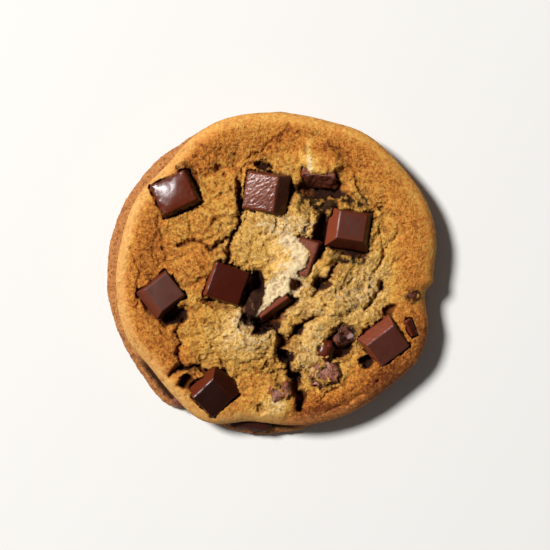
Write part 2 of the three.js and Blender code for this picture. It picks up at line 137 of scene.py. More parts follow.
# Cracks, as (width, depth, places that each runs through)
CRACKS = (
    (0.9, 2.2, ((-7.9, 18), (-8.3, 13), (-9.8, 10), (-10.9, 6), (-11.4, 3.4))),
    (1.1, 1.6, ((-24, 6.8), (-20, 9.2), (-16, 6.3), (-11, 8.8))),
    (0.9, 0.7, ((-30, 14.6), (-28.5, 7.8), (-27, 2.3))),
    (1.0, 1.6, ((-24, -12), (-24.9, -15.8), (-23.4, -18.5), (-24.5, -22))),
    (1.0, 1.7, ((-24.5, -22), (-23.7, -24.6), (-26.2, -26), (-27.5, -27.8))),
    (1.1, 2.4, ((-24.5, -25.3), (-20, -25), (-17.5, -25.6))),
    (1.2, 3, ((-4.5, -12), (-1.2, -14.9), (0.8, -14.9), (2.9, -18.2))),
    (1.2, 3, ((2.9, -18.2), (2.3, -20.3), (4.9, -22.9), (4.8, -26), (6.7, -27.6))),
    (1.4, 3.4, ((6.7, -27.6), (6.3, -30.6), (8.7, -32.8), (7.7, -36))),
    (1.0, 2.0, ((3, -19.3), (8.5, -13.3), (12, -11.5))),
    (1.0, 1.8, ((17, 2.6), (12.5, -3.3), (11, -6.3))),
    (0.8, 1.4, ((24.9, -10.1), (28.1, -5.6), (29.5, -3))),
    (0.7, 0.6, ((-6.5, 29.2), (-1.5, 33.2), (5.5, 39))),
    (0.8, 1.1, ((-24.5, 28), (-21.5, 23.5), (-18.5, 18.5))),
    (0.8, 0.9, ((21, 27.6), (22.5, 25), (24.5, 20))),
    (0.7, 0.4, ((14.5, -36.8), (19.5, -35.3), (24, -32.8))),
)

# Hollows and raised plates, as (place, half sizes, turn, change of height)
HOLLOWS = (
    ((-5.1, -6.7), (7, 2.3), 76, -5),
    ((-25.2, -11.5), (3.6, 2), 36, -3),
    ((13.2, 9.2), (5.8, 1.8), 82, -5),
    ((20.7, 5.9), (5.2, 1.7), -8, -3.4),
    ((12.4, 22), (5.6, 2.5), 2, -4.4),
    ((-8, 20.3), (4.2, 0.9), 97, -3),
    ((-1.8, 28.1), (2.4, 1.2), -8, -2.4),
    ((-21.8, -28.8), (2.1, 1.9), 30, -3.4),
    ((18.6, -18), (4.4, 3), 62, -3.6),
    ((25.3, -23.3), (1.6, 1.5), 0, -3.6),
    ((3.8, -21.9), (2.2, 1.8), 20, -2.2),
    ((7.1, -15.4), (1.8, 1.6), 0, -2.2),
    ((-1, -13), (4.6, 2.2), 36, -3.8),
    ((3.9, -9.1), (3.4, 1.4), 34, -3.2),
    ((6.1, -3.2), (1.9, 1.3), 10, -3.2),
    ((12.9, -2.9), (2.1, 2), 0, -2.2),
    ((31.5, -9.8), (1.9, 1.3), 60, -2.4),
    ((8, -33.4), (3, 1.2), 80, -1.6),
    ((-20.4, 23.7), (4.4, 1.2), 115, -1.7),
    ((-23.9, 16.5), (4.2, 0.9), 25, -1),
    ((4.4, 20.1), (4.8, 1.5), 81, -2.6),
    ((-13.6, -8.8), (4.6, 1), -19, -1.4),
    ((-32.6, -8.3), (4, 1.2), 128, -1.7),
    ((-18.9, -29.2), (3.4, 1.2), 40, -1.8),
    ((-11.2, -29.5), (3.8, 1.4), 130, -2.4),
    ((27.6, -14.9), (4.4, 1.2), 37, -1.8),
    ((16.3, 12.1), (4.8, 1.3), 81, -2.4),
)
PLATES = (
    ((-1.5, 9), (7.5, 5.5), -20, 0.8),
    ((7, 12.6), (3.6, 3.2), 0, 0.7),
    ((17, -6), (6, 5.5), 30, 0.7),
    ((9, -23), (4.2, 5.4), -25, 0.9),
    ((-5.5, -15), (6, 4.6), 10, 0.7),
    ((-21.5, 1.8), (4.4, 5), 0, 0.7),
    ((1.6, -35.5), (4.4, 3.6), 0, 0.9),
    ((-4, -20.4), (6, 4), 10, 0.9),
)

# Plates that are smoother than the crags around, as (place, half sizes, turn, share)
CALM_PLACES = (
    ((-7, -17), (8.4, 5.6), 10, 0.85),
    ((9.6, -22.6), (4, 6), -20, 0.5),
    ((-3, 8), (7, 5), -20, 0.5),
)

# Lips of dough that lie over chocolate, as (place, half sizes, turn, height they rise to)
FLAPS = (
    ((13, 30.2), (5.6, 4.7), -6, 12.7),
    ((4.2, 4.2), (5.8, 5.8), -20, 13.6),
    ((-1.4, -6.5), (7.6, 2.7), 34, 13.4),
    ((-3.7, -9.9), (2.7, 1.4), 34, 13.3),
)

# Fine cracks that only mark the surface, like those above
HAIR_CRACKS = (
    (0.35, 0.8, ((-20, 34.5), (-14, 31.5), (-9.5, 28.5))),
    (0.35, 0.8, ((-31, -14), (-27.6, -17.5), (-24.4, -18))),
    (0.35, 0.7, ((24.6, 21.4), (30.6, 15.6), (33.4, 14.6))),
    (0.4, 0.9, ((28, 12), (29.8, 4.4), (27.6, -0.5))),
    (0.35, 0.8, ((-12.4, -14.6), (-15.4, -19.8), (-12.4, -24.6))),
    (0.4, 0.9, ((-8, -24.2), (-1, -26.4), (4.6, -25))),
    (0.35, 0.8, ((12, -33.8), (17, -31), (22.4, -26))),
    (0.35, 0.7, ((7.2, 37), (12.5, 36.4), (16.6, 34.8))),
    (0.4, 0.9, ((-15, 13.4), (-11.8, 15.6), (-9, 14.4))),
    (0.35, 0.7, ((-36.5, 6), (-34.5, -2), (-35.5, -9))),
)

# Pits, as (place, radius, depth)
PITS = (
    ((-13.8, 27.2), 0.9, 1.4), ((-12, 25.1), 0.8, 1.2), ((-13.8, 23.3), 0.7, 1.0),
    ((-15.4, 21.1), 0.6, 0.9), ((-2.4, -35.9), 1.0, 1.3), ((29.2, -3.2), 1.2, 1.6),
    ((23.6, -3.6), 0.8, 1.1), ((14.8, -2.4), 0.7, 1.0), ((20.6, -5), 0.7, 0.9),
    ((-11.6, -16.6), 0.5, 0.8), ((-9, -9.4), 0.5, 0.8), ((30, 10.8), 0.5, 0.7),
    ((2.3, -26.6), 0.7, 1.0), ((13.6, 14.6), 0.7, 1.1), ((36.4, 0.6), 0.5, 0.6),
    ((-19.4, 30.8), 0.6, 0.7), ((-31.4, -22.8), 0.5, 0.7), ((27.8, -28.6), 0.6, 0.8),
)

# Places where the crumb is paler than around, as (place, half sizes, turn, strength)
PALE_PLACES = (
    ((2, 13.5), (6.4, 3.4), -8, 0.55),
    ((6, 7), (3.8, 1.8), -44, 0.75),
    ((7.1, 1.8), (3.6, 1.9), 71, 0.8),
    ((3.4, -2.2), (3.4, 2), 40, 0.6),
    ((-2.6, 7), (8, 6.4), -20, 0.26),
    ((-1, -6.6), (8, 3), 34, 1.3),
    ((10.4, 11), (3.4, 4), -25, 0.35),
    ((-6.2, -16.4), (8.4, 6), 10, 0.6),
    ((10.4, -21), (4.6, 6.6), -20, 0.6),
    ((13, -7.4), (10, 6), 10, 0.42),
    ((27, -3.6), (6.6, 8.6), 0, 0.46),
    ((10, 30.6), (0.8, 4.4), 4, 0.9),
    ((1, -35.2), (4.2, 3), 0, 0.95),
    ((17, -28), (4, 3.4), 40, 0.3),
    ((17.6, 19.4), (2, 6), 40, 0.1),
)

# Places where it is browner than around, given in the same way
BROWN_PLACES = (
    ((-30.5, 4), (4.6, 12), 6, 0.4),
    ((-17, 31.5), (8, 3.4), 28, 0.35),
    ((-8, 27.4), (5, 3), 20, 0.4),
    ((17.5, 20), (6, 3), -10, 0.35),
    ((-26, -21), (6, 5), 0, 0.25),
    ((20, 30), (9, 5), -30, 0.2),
    ((37, 8), (3.4, 12), 0, 0.1),
    # The next four, on the lower right rim that faces away from the key light, are partly browner
    # crust and partly painted shade
    ((18, -33), (12, 3), 28, 0.45),
    ((12, -38), (14, 3.4), 12, 0.7),
    ((31, -29), (4, 9), -45, 0.8),
    ((41, -18), (4, 8), 10, 0.7),
    ((-3.4, -26), (5, 4), 0, 0.15),
    ((-20.5, 2), (6, 8), 0, 0.5),
    ((-20, 14), (6, 5), 0, 0.05),
    ((14.4, 31), (5, 3), 0, 0.35),
    ((-37, -10), (3, 9), 12, 0.3),
    ((1.8, 35), (5, 1.1), 42, 0.6),
)

# The chunks. at: the middle of the face; lean: (bearing, angle); shift: how far the base stands
# from the face; drop: how far down the sides slope; melted: a number for an uneven round outline.
# Then how each one looks: rounding of its edges, dome of its face, unevenness, roughness, dull
# bloom, pinkish bloom and the bearing it is strongest towards, darkness of its face, blisters,
# wrinkled edges, redness of all of it, how much redder its sides that look towards the key light are
# painted, as painted light (side), redness of a frame round its face, how much crumb covers it where
# melted, and whether a lip of dough laps over it.
CHUNKS = {
    "chunk_upper_left": dict(
        at=(-25.6, 21, 12.2), turn=25, lean=(149, 10), base=(11.2, 9.8), shift=(0.1, -0.1),
        face=(10.3, 9), drop=3, tall=4.8,
        rounding=0.6, dome=0.6, uneven=0.13, rough=0.24, wrinkles=0.3, side=0.5, red=0.3),
    "chunk_top": dict(
        at=(-2.8, 21.1, 13.4), turn=-9, lean=(185, 13), base=(11.5, 11), shift=(0.9, -0.1),
        face=(8.7, 9.6), drop=3.4, tall=5.6,
        rounding=0.5, dome=0.2, uneven=0.1, rough=0.3, pink=0.6, blisters=0.2, fade=115, red=0.3),
    "chunk_upper_right": dict(
        at=(21.2, 12.1, 13.4), turn=-9, lean=(50, 5), base=(11.6, 10.4), shift=(-0.3, -0.5),
        face=(7.4, 7.3), drop=3.2, tall=5.6,
        rounding=0.3, dome=0.1, uneven=0.06, rough=0.36, bloom=0.7, frame=0.6),
    "chunk_middle": dict(
        at=(-11.4, -2.9, 13.9), turn=-19, lean=(300, 3), base=(10.2, 10), shift=(-0.2, -0.3),
        face=(9.1, 8.9), drop=2.6, tall=5.8,
        rounding=0.35, dome=0.15, uneven=0.08, rough=0.28, dark=0.15),
    "chunk_left": dict(
        at=(-28, -5.1, 12.7), turn=38, lean=(40, 7), base=(10, 9.2), shift=(-0.8, 0),
        face=(7.5, 7.5), drop=3, tall=5.4,
        rounding=0.35, dome=0.1, uneven=0.06, rough=0.5, bloom=0.75, side=0.6),
    "chunk_lower_left": dict(
        at=(-15.4, -33, 11.9), turn=44, lean=(250, 9), base=(10.8, 10.2), shift=(1.2, 0.7),
        face=(7.4, 7.3), drop=3, tall=4.6,
        rounding=0.3, dome=0.12, uneven=0.1, rough=0.3, dark=1, side=0.4),
    "chunk_lower_right": dict(
        at=(30.8, -19.2, 12.2), turn=37, lean=(315, 11), base=(10.6, 10), shift=(0, 0.8),
        face=(9.1, 7.2), drop=3, tall=5,
        rounding=0.35, dome=0.1, uneven=0.08, rough=0.42, bloom=0.5, wrinkles=0.14),
    "chunk_right_small": dict(
        at=(37.1, -14.7, 11.5), turn=114, lean=(350, 14), base=(5, 2.2), shift=(0, 0),
        face=(4.6, 1.7), drop=2, tall=3.4,
        rounding=0.5, dome=0.2, uneven=0.3, rough=0.4, dark=0.3, side=0.6),
    "chunk_under_cap": dict(
        at=(12.8, 29.2, 10.2), turn=-5, lean=(88, 24), base=(11, 10.4), shift=(0, 0),
        face=(8.8, 8.4), drop=4, tall=5.4,
        rounding=0.5, dome=0.2, uneven=0.35, rough=0.4, pink=0.6, dark=0.3, wrinkles=0.3,
        flapped=True),
    "chunk_under_centre": dict(
        at=(6.6, 4.7, 12.6), turn=-20, lean=(200, 3), base=(11, 11), shift=(0, 0),
        face=(9.4, 9.4), drop=3, tall=5.2,
        rounding=0.4, dome=0.1, uneven=0.12, rough=0.4, pink=0.4, red=0.55, flapped=True),
    "chunk_under_flap": dict(
        at=(-0.3, -7.4, 12.7), turn=35, lean=(130, 5), base=(9.8, 5.8), shift=(0.1, -0.4),
        face=(9.2, 4.6), drop=2.4, tall=5.2,
        rounding=0.35, dome=0.1, uneven=0.1, rough=0.4, red=1, flapped=True),
    "chunk_lower_bead": dict(
        at=(13.6, -20.3, 12.6), turn=70, lean=(150, 10), base=(5.4, 4.6), shift=(0, 0),
        face=(4, 3.2), drop=1.6, tall=4.2, melted=1, cover=-0.9,
        rounding=1.1, dome=0.3, uneven=0.35, rough=0.24, side=0.6, red=0.3),
    "chunk_lower_smear": dict(
        at=(13.8, -26.8, 12.1), turn=24, lean=(150, 6), base=(8, 6.4), shift=(0, 0),
        face=(6.4, 4.8), drop=1.6, tall=4.4, melted=2,
        rounding=1.2, dome=0.2, uneven=0.25, rough=0.45, pink=1, wrinkles=0.2),
    "chunk_bottom_small": dict(
        at=(2.4, -31.5, 12.2), turn=15, lean=(120, 6), base=(6.2, 5.2), shift=(0, 0),
        face=(4.6, 3.6), drop=1.6, tall=4, melted=3,
        rounding=1.1, dome=0.2, uneven=0.25, rough=0.45, pink=0.8, wrinkles=0.15),
    "chunk_in_hollow": dict(
        at=(20, -16.3, 10.2), turn=18, lean=(180, 5), base=(7, 5), shift=(0, 0),
        face=(5.6, 3.6), drop=1.6, tall=4, melted=4, cover=0.3,
        rounding=1, dome=0, uneven=0.7, rough=0.45, dark=0.3, pink=0.3, bloom=0.2),
    "chunk_notch": dict(
        at=(37.3, -6.4, 10.6), turn=12, lean=(0, 20), base=(4.8, 4.6), shift=(0, 0),
        face=(3.6, 3.4), drop=1.6, tall=3.8, melted=5,
        rounding=1, dome=0.2, uneven=0.35, rough=0.5, bloom=0.4, pink=0.3),
    "chunk_foot": dict(
        at=(-5.6, -40.6, 5.9), turn=-2, lean=(268, 28), base=(10.4, 3.6), shift=(0, 0),
        face=(9.4, 2.6), drop=1.6, tall=3, melted=6,
        rounding=0.9, dome=0.1, uneven=0.25, rough=0.6, dark=0.4),
    "chunk_side_spot": dict(
        at=(-25.1, -34.9, 4.7), turn=-36, lean=(234, 34), base=(3.2, 2.2), shift=(0, 0),
        face=(2.8, 1.8), drop=1.6, tall=2.6, melted=7,
        rounding=0.6, dome=0.1, uneven=0.15, rough=0.45, pink=0.5),
}

# Bearing that the key light comes from: chunk sides that look towards it are painted redder, as
# painted light, and sides that look away from it are painted darker, as painted shade; and how far
# sides may look away from it before they stop being redder and start being darker
LIT_SIDE_BEARING = 165
LIT_SIDE_RED = (-0.1, 0.5)
SHADED_SIDE = (0.1, -0.5)
SHADED_SIDE_STRENGTH = 0.75

# Where a chunk's face begins, where the frame round it begins, and how red that frame is
FACE_BEGINS = (0.5, 0.95)
FRAME_BEGINS = (0.55, 0.8)
FRAME_REDNESS = 0.45

# Share of bloom and pinkish streaks that is left on the sides and where they fade, and that fade
BLOOM_ON_SIDES = 0.35
PINK_LEAST = 0.35
PINK_FADE = (-0.9, 0.6)

# Rounding of a chunk's upright corners, for the gap around it
CORNER_ROUNDING = 0.5

# A melted outline's corners, their reach against the chunk's size, how uneven it is, and its
# ragged edge with the width of that in degrees
MELTED_CORNERS = 10
MELTED_REACH = 1.12
MELTED_UNEVENNESS = 0.26
MELTED_RAGGEDNESS = 0.12
MELTED_RAGGED_WIDTH = 40

# The pocket that each chunk sits in: how far the dough around it is looked at, the gap's least
# width and unevenness as shares of the mean gap, the slope at its edge, steps down the chunk's
# sides, room under the chunk, and how much deeper it is where the gap is wide
POCKET_REACH = 12
GAP_LEAST = 0.2
GAP_UNEVENNESS = 1.8
GAP_WAVER_SIZE = 1.5
GAP_EDGE = 0.3
SLOPE_STEPS = 5
POCKET_ROOM = 1.1
GAP_DEPTH = 2.4
GAP_OPENING = (0.05, 0.4)

# Crumb over a melted chunk: how far it laps over the edge, its mean height and unevenness over the
# chunk's face, the limits of that, and how far it may lower or raise the dough
MELTED_OVERLAP = 0.3
MEAN_COVER = 0.1
COVER_UNEVENNESS = 3.2
COVER_LIMITS = (-1.5, 0.5)
COVER_CHANGE_LIMITS = (-9, 2.2)

# A lip of dough over a chunk: where it begins to hide the chunk, and from what height above it
FLAP_BEGINS = (0.35, 0.6)
FLAP_CLEARANCE = (1.1, 0.7)

# How far melted chocolate soaks outwards, and the share of it that shows through a lip of dough
SOAK_REACH = 0.8
SOAK_THROUGH_FLAP = 0.25

# Places where melted chocolate has soaked into the crumb, as (place, half sizes, turn, strength)
STAIN_PLACES = (
    ((12.4, 17.8), (7, 3.2), -12, 1.2),
    ((21, 19.2), (5.8, 2), -10, 1.25),
    ((21, 3.8), (5.8, 2.2), -4, 1.1),
    ((20.6, -23.6), (3, 5), 10, 0.3),
    ((22.8, -17.6), (2.2, 3.6), 0, 0.75),
    ((16.6, -19.6), (4.4, 2.6), 20, 0.4),
    ((37.6, -6), (2.8, 2.2), 10, 1),
    ((37.6, -12.6), (1.6, 2.6), 20, 0.5),
    ((-23.4, 28.2), (2.2, 1.6), 40, 0.85),
    ((-24, -23.4), (1.6, 1.6), 0, 0.6),
    ((-20.5, -25.6), (4, 1.4), 0, 0.7),
    ((-32.6, -8.4), (2.6, 1.4), 128, 0.5),
    ((10.4, 22.4), (6, 1.8), 4, 0.8),
    ((2.6, -31.6), (3.4, 2.6), 15, 0.5),
    ((17, 8.4), (1.6, 4), 80, 0.4),
    ((-5.6, -7.8), (2.2, 4.6), 0, 1.7),
    ((-21, -26.5), (6, 2.6), -10, 0.42),
)

# How pale the lip is painted at each bearing, from 0 to 1: painted light, palest on the side that
# faces the key light
LIT_LIP_PALENESS = (
    (0, 0.1), (60, 0.2), (110, 0.45), (140, 0.9), (180, 1), (230, 0.9), (260, 0.8), (280, 0.6),
    (310, 0.25), (340, 0.1),
)

# Smoother crumb on the upper lip, from one ring to the other and from one height to the other,
# how much smoother it is there and on the lips over chocolate, in form and in colour, and how
# high above the floor the underside's smoothness reaches
CALM_LIP_RING = (0.9, 0.96)
CALM_LIP_HEIGHT = (5.8, 6.6)
LIP_CALM = 0.7
FLAP_CALM = 0.6
FLAP_CALM_COLOUR = 0.7
FLOOR_CALM_HEIGHT = 1.2
UNDERSIDE_LIMIT = 0.02

# Grains wander off their even places
GRAIN_WANDER = 0.5
GRAIN_WANDER_SIZE = 1.2

# Clods differ in height, with seams between them only where the crumb is broken
CLOD_STEP = 0.8
CLOD_SEAM_WIDTH = 0.3
BROKEN_SIZE = 3.4
BROKEN_SHARE = (-0.15, 0.35)

# Layers of grains, pores, wrinkles and a chunk's lumps, as (weight, share of the size), coarse
# to fine; a lump's sizes are in millimetres
GRAIN_LAYERS = ((0.8, 1), (0.8, 0.6), (0.8, 0.36))
PORE_LAYERS = ((1, 1), (0.7, 0.45))
WRINKLE_LAYERS = ((1, 1), (0.6, 1 / 2.1))
LUMP_LAYERS = ((1, 3.1), (0.5, 1.4), (0.22, 0.6))

# Share of the grains, pores and wrinkles that is left outside and inside the craggy middle
GRAINS_ON_RIM = 0.3
PORES_ON_RIM = 0.35
WRINKLES_IN_CRAGS = 0.5
PORE_OPENS = (0.55, 0.85)
PORE_PATCHINESS = 0.25
PORE_PATCH_SIZE = 4

# Browning, from 0 for pale to 1 for dark: the mean, the browner ring, and how much each part or
# place changes it
BROWNNESS = 0.56
BROWN_RING = 0.8
BROWN_RING_SPREAD = 0.12
RING_BROWNNESS = 0.1
CRUMB_PALENESS = 0.13
PALE_PLACE_TONE = 0.5
BROWN_PLACE_TONE = 0.4
FLAP_PALENESS = 0.13
# Painted light: how much paler the lip is painted on its side towards the key light
LIT_LIP_TONE = 0.22
SKIRT_BROWNNESS = 0.7
UNDERSIDE_BROWNNESS = 0.95
UNDERSIDE_TONE_HEIGHT = 0.3
BROWNED_LIMITS = (-0.25, 1)
LIP_TONE_RING = (0.9, 0.965)
LIP_TONE_HEIGHT = (6.0, 6.5)
SKIRT_TONE_HEIGHT = (6.2, 5.2)
FLAP_TONE = (0.4, 0.8)
# Share of the duller side colour laid over the lip's painted light
LIP_DULLNESS = 0.95

# Painted shade that the hollows between grains and the seams between clods add to the colour
GRAIN_TONE = 0.5
SEAM_TONE = 0.6

# Uneven browning in large and in small patches, as (strength, size, step of the seed)
TONE_PATCHES = ((0.09, 6, 0), (0.08, 1.6, 3))

# Stain that soaks out of chunks: its strength, mean and unevenness, and the size of its patches
SOAK_STRENGTH = 0.9
SOAK_MEAN = 0.7
SOAK_UNEVENNESS = 0.8
SOAK_PATCH_SIZE = 1.4

# Stain and painted shade in hollows: the depth at which a hollow counts as full, from which share of
# it on it is stained and painted with shade, and in patches of which size
FULL_HOLLOW = 2.6
HOLLOW_STAIN_AND_SHADE = 0.95
STAINED_AND_SHADED_HOLLOW = (0.35, 0.8)
HOLLOW_PATCH = (-0.9, 0)
HOLLOW_PATCH_SIZE = 3

# Painted shade in the slit under the lip, laid on with the stain colour: where the crease is deep
# enough, and between which heights
SLIT_SHADE = 0.9
SLIT_DEPTH = (1.0, 2.4)
SLIT_BOTTOM = (3.2, 3.8)
SLIT_TOP = (5.8, 5.3)

# Speckles in the stained places, their width, and the stain between them
STAIN_SPECKLE = (-0.35, 0.35)
STAIN_SPECKLE_SIZE = 0.9
STAIN_LEAST = 0.35

# Chunks: cuts along each side of a large and of a small one, which face counts as small, how the
# cuts crowd to the edges, and how much of the shortest side the rounding may take
CHUNK_CUTS = 34
SMALL_CHUNK_CUTS = 20
SMALL_CHUNK_FACE = 6
EDGE_CROWDING = 0.88
ROUNDING_LIMIT = 2.2
MELTED_LIMIT = 1.1

# Lumps stand out less on the face, by this much, and more on the sides, by this much besides
LUMPS_ON_FACE = 0.55
MORE_LUMPS_ON_SIDES = 0.9

# Blisters and wrinkled edges of melted faces: their widths, how a blister's bump falls off, where
# the wrinkles begin, and how many of them reach the face
BLISTER_SIZE = 0.45
BLISTER_FALL = (0.62, 0.1)
WRINKLE_PLACE_SCALE = (1.25, 1.25, 0.6)
WRINKLE_EDGE = (0.62, 0.98)
WRINKLES_ON_FACE = 0.35

# Loose crumbs: fewer from the first reach to the second, none below a height, and how likely they
# lie in the open, in hollows and on stained crumb
CRUMB_REACH = (39, 30)
CRUMB_LOWEST = 9.6
CRUMB_CHANCE = 0.15
CRUMB_CHANCE_IN_HOLLOWS = 0.5
CRUMB_CHANCE_ON_STAINS = 0.4
CRUMB_SIZE_POWER = 2.2

# Half width of the floor, and the place that the camera looks straight down on
FLOOR_REACH = 3000
VIEW_MIDDLE = (1.03, -0.61)

# Seeds of the broad relief
SEED_WANDER = 11
SEED_PLATES = 23
SEED_LUMPS = 37
SEED_BEND = 41
SEED_SIDE = 53
SEED_CREASE = 61
SEED_MELT = 67

# Seeds of the fine surface
SEED_RAGGED = 71
SEED_CLODS = 83
SEED_GRAINS = 97
SEED_PORES = 101
SEED_WRINKLES = 113
SEED_TONE = 127
SEED_GAP = 131
SEED_CHUNK = 139
SEED_STAIN = 151

# Fineness of the dough's mesh
TOP_RINGS = 156
RING_CROWDING = 0.12
RING_CROWDING_POWER = 6
SIDE_STEPS = 4
UNDERSIDE_RINGS = 4


def linear(hex_colour):
    """An sRGB colour written as six hex digits, as linear red, green and blue."""
    shares = [int(hex_colour[k:k + 2], 16) / 255 for k in (0, 2, 4)]
    return tuple(s / 12.92 if s <= 0.04045 else ((s + 0.055) / 1.055) ** 2.4 for s in shares)


def smoothstep(start, end, value):
    """0 before the start, 1 after the end and smooth between; the start may be the higher one."""
    t = np.clip((value - start) / (end - start), 0, 1)
    return t * t * (3 - 2 * t)


def draw(i, j, seed, k=0):
    """A fixed draw between 0 and 1 for each whole-number place."""
    mask = 0xFFFFFFFF
    h = (i * 374761393 + j * 668265263 + seed * 1274126177 + k * 1442695041) & mask
    h = ((h ^ (h >> 13)) * 1274126177) & mask
    return (h ^ (h >> 16)) / 4294967296


def noise(x, y, seed):
    """Smooth noise over a plane, between -1 and 1."""
    i, j = np.floor(x).astype(np.int64), np.floor(y).astype(np.int64)
    u, v = smoothstep(0, 1, x - i), smoothstep(0, 1, y - j)
    low = draw(i, j, seed) * (1 - u) + draw(i + 1, j, seed) * u
    high = draw(i, j + 1, seed) * (1 - u) + draw(i + 1, j + 1, seed) * u
    return 2 * (low * (1 - v) + high * v) - 1


def rough_noise(x, y, seed):
    """Three octaves of the plane noise."""
    return (noise(x, y, seed) + 0.5 * noise(2 * x, 2 * y, seed + 1)
            + 0.25 * noise(4 * x, 4 * y, seed + 2)) / 1.75


def space_noise(p, seed):
    """Smooth noise through space at the rows of p, between -1 and 1."""
    cell = np.floor(p).astype(np.int64)
    u, v, w = smoothstep(0, 1, p - cell).T
    i, j, k = cell.T
    total = 0
    for a, wa in ((0, 1 - u), (1, u)):
        for b, wb in ((0, 1 - v), (1, v)):
            for c, wc in ((0, 1 - w), (1, w)):
                total = total + wa * wb * wc * draw(i + a, j + b, seed, k + c)
    return 2 * total - 1


def octaves(p, size, layers, seed):
    """Layers of noise through space, each given as (weight, share of the size)."""
    return sum(weight * space_noise(p / (share * size), seed + number)
               for number, (weight, share) in enumerate(layers))


def cells(x, y, seed):
    """Scattered cells over a plane: each place's cell draw, and how far its nearest seam is."""
    column, row = np.floor(x).astype(np.int64), np.floor(y).astype(np.int64)
    nearest, second, own = np.full(x.shape, 9.0), np.full(x.shape, 9.0), np.zeros(x.shape)
    for di in (-1, 0, 1):
        for dj in (-1, 0, 1):
            i, j = column + di, row + dj
            gap = np.hypot(i + draw(i, j, seed) - x, j + draw(i, j, seed + 1) - y)
            closer = gap < nearest
            second = np.where(closer, nearest, np.minimum(second, gap))
            own = np.where(closer, draw(i, j, seed + 2), own)
            nearest = np.where(closer, gap, nearest)
    return own, second - nearest


def space_cells(p, seed):
    """Scattered cells through space: distance to the nearest middle and to the next, and a draw."""
    cell = np.floor(p).astype(np.int64)
    nearest, second = np.full(len(p), 9.0), np.full(len(p), 9.0)
    own = np.zeros(len(p))
    for di in (-1, 0, 1):
        for dj in (-1, 0, 1):
            for dk in (-1, 0, 1):
                i, j, k = (cell + (di, dj, dk)).T
                gap = np.sqrt((i + draw(i, j, seed, k) - p[:, 0]) ** 2
                              + (j + draw(i, j, seed + 1, k) - p[:, 1]) ** 2
                              + (k + draw(i, j, seed + 2, k) - p[:, 2]) ** 2)
                closer = gap < nearest
                second = np.where(closer, nearest, np.minimum(second, gap))
                own = np.where(closer, draw(i, j, seed + 3, k), own)
                nearest = np.where(closer, gap, nearest)
    return nearest, second, own


def around(pairs, bearing):
    """A smooth closed curve through (bearing, value) pairs."""
    angles, values = np.array(pairs, float).T
    count = len(pairs)
    turn = np.mod(bearing, 360)
    after = np.searchsorted(angles, turn, side="right")

    def angle_at(k):
        return angles[k % count] + 360 * (k // count)

    def value_at(k):
        return values[k % count]

    def slope_at(k):
        return (value_at(k + 1) - value_at(k - 1)) / (angle_at(k + 1) - angle_at(k - 1))

    start = after - 1
    span = angle_at(after) - angle_at(start)
    t = (turn - angle_at(start)) / span
    return (value_at(start) * (1 - t) ** 2 * (1 + 2 * t) + value_at(after) * t * t * (3 - 2 * t)
            + span * t * (1 - t) * (slope_at(start) * (1 - t) - slope_at(after) * t))


def path_distance(x, y, path):
    """Distance from each place to a path of straight runs."""
    best = np.full(x.shape, np.inf)
    for (x0, y0), (x1, y1) in zip(path, path[1:]):
        dx, dy = x1 - x0, y1 - y0
        t = np.clip(((x - x0) * dx + (y - y0) * dy) / (dx * dx + dy * dy), 0, 1)
        best = np.minimum(best, np.hypot(x - x0 - t * dx, y - y0 - t * dy))
    return best


def patch(x, y, at, half, turn, firmness):
    """Near 1 inside the half sizes and falling to 0 outside, the faster the firmer it is."""
    dx, dy = x - at[0], y - at[1]
    c, s = math.cos(turn * DEGREE), math.sin(turn * DEGREE)
    along, across = (dx * c + dy * s) / half[0], (dy * c - dx * s) / half[1]
    return 1 / (1 + (along * along + across * across) ** firmness)


def chunk_axes(chunk):
    """A chunk's own axes as the columns of a matrix: turned about Z, then leant."""
    turn = chunk["turn"] * DEGREE
    bearing, angle = chunk["lean"][0] * DEGREE, chunk["lean"][1] * DEGREE
    turned = np.array([[math.cos(turn), -math.sin(turn), 0], [math.sin(turn), math.cos(turn), 0],
                       [0, 0, 1]])
    hx, hy = -math.sin(bearing), math.cos(bearing)
    c, s = math.cos(angle), math.sin(angle)
    leant = np.array([[c + hx * hx * (1 - c), hx * hy * (1 - c), hy * s],
                      [hx * hy * (1 - c), c + hy * hy * (1 - c), -hx * s],
                      [-hy * s, hx * s, c]])
    return leant @ turned


def melted_reach(bearing, number):
    """Reach of a melted chunk's outline at each bearing in degrees, against that of its size."""
    place = np.mod(bearing, 360) / 360 * MELTED_CORNERS
    k = np.floor(place).astype(np.int64)
    reach = [MELTED_REACH - MELTED_UNEVENNESS * draw(corner % MELTED_CORNERS, number, SEED_MELT)
             for corner in (k, k + 1)]
    return reach[0] + (reach[1] - reach[0]) * (place - k)


def chunk_outline(chunk, depth):
    """Half sizes and middle of a chunk's outline at each depth under its face."""
    share = np.clip(depth / chunk["drop"], 0, 1)[:, None]
    half = (np.array(chunk["face"]) * (1 - share) + np.array(chunk["base"]) * share) / 2
    return half, np.array(chunk["shift"]) * share


def chunk_distance(points, chunk, share=None):
    """How far each point is outside a chunk's sides, and how high above its face's plane. A share
    asks for the outline at that share of the sides' drop, in place of the point's own depth."""
    local = (points - chunk["at"]) @ chunk_axes(chunk)
    depth = -local[:, 2] if share is None else np.full(len(points), share * chunk["drop"])
    half, middle = chunk_outline(chunk, depth)
    x, y = (local[:, :2] - middle).T
    if "melted" in chunk:
        bearing = np.degrees(np.arctan2(y / half[:, 1], x / half[:, 0]))
        away = np.hypot(x / half[:, 0], y / half[:, 1]) - melted_reach(bearing, chunk["melted"])
        return away * half.min(axis=1), local[:, 2]
    over_x = np.abs(x) - half[:, 0] + CORNER_ROUNDING
    over_y = np.abs(y) - half[:, 1] + CORNER_ROUNDING
    beyond = np.hypot(np.maximum(over_x, 0), np.maximum(over_y, 0))
    return beyond + np.minimum(np.maximum(over_x, over_y), 0) - CORNER_ROUNDING, local[:, 2]


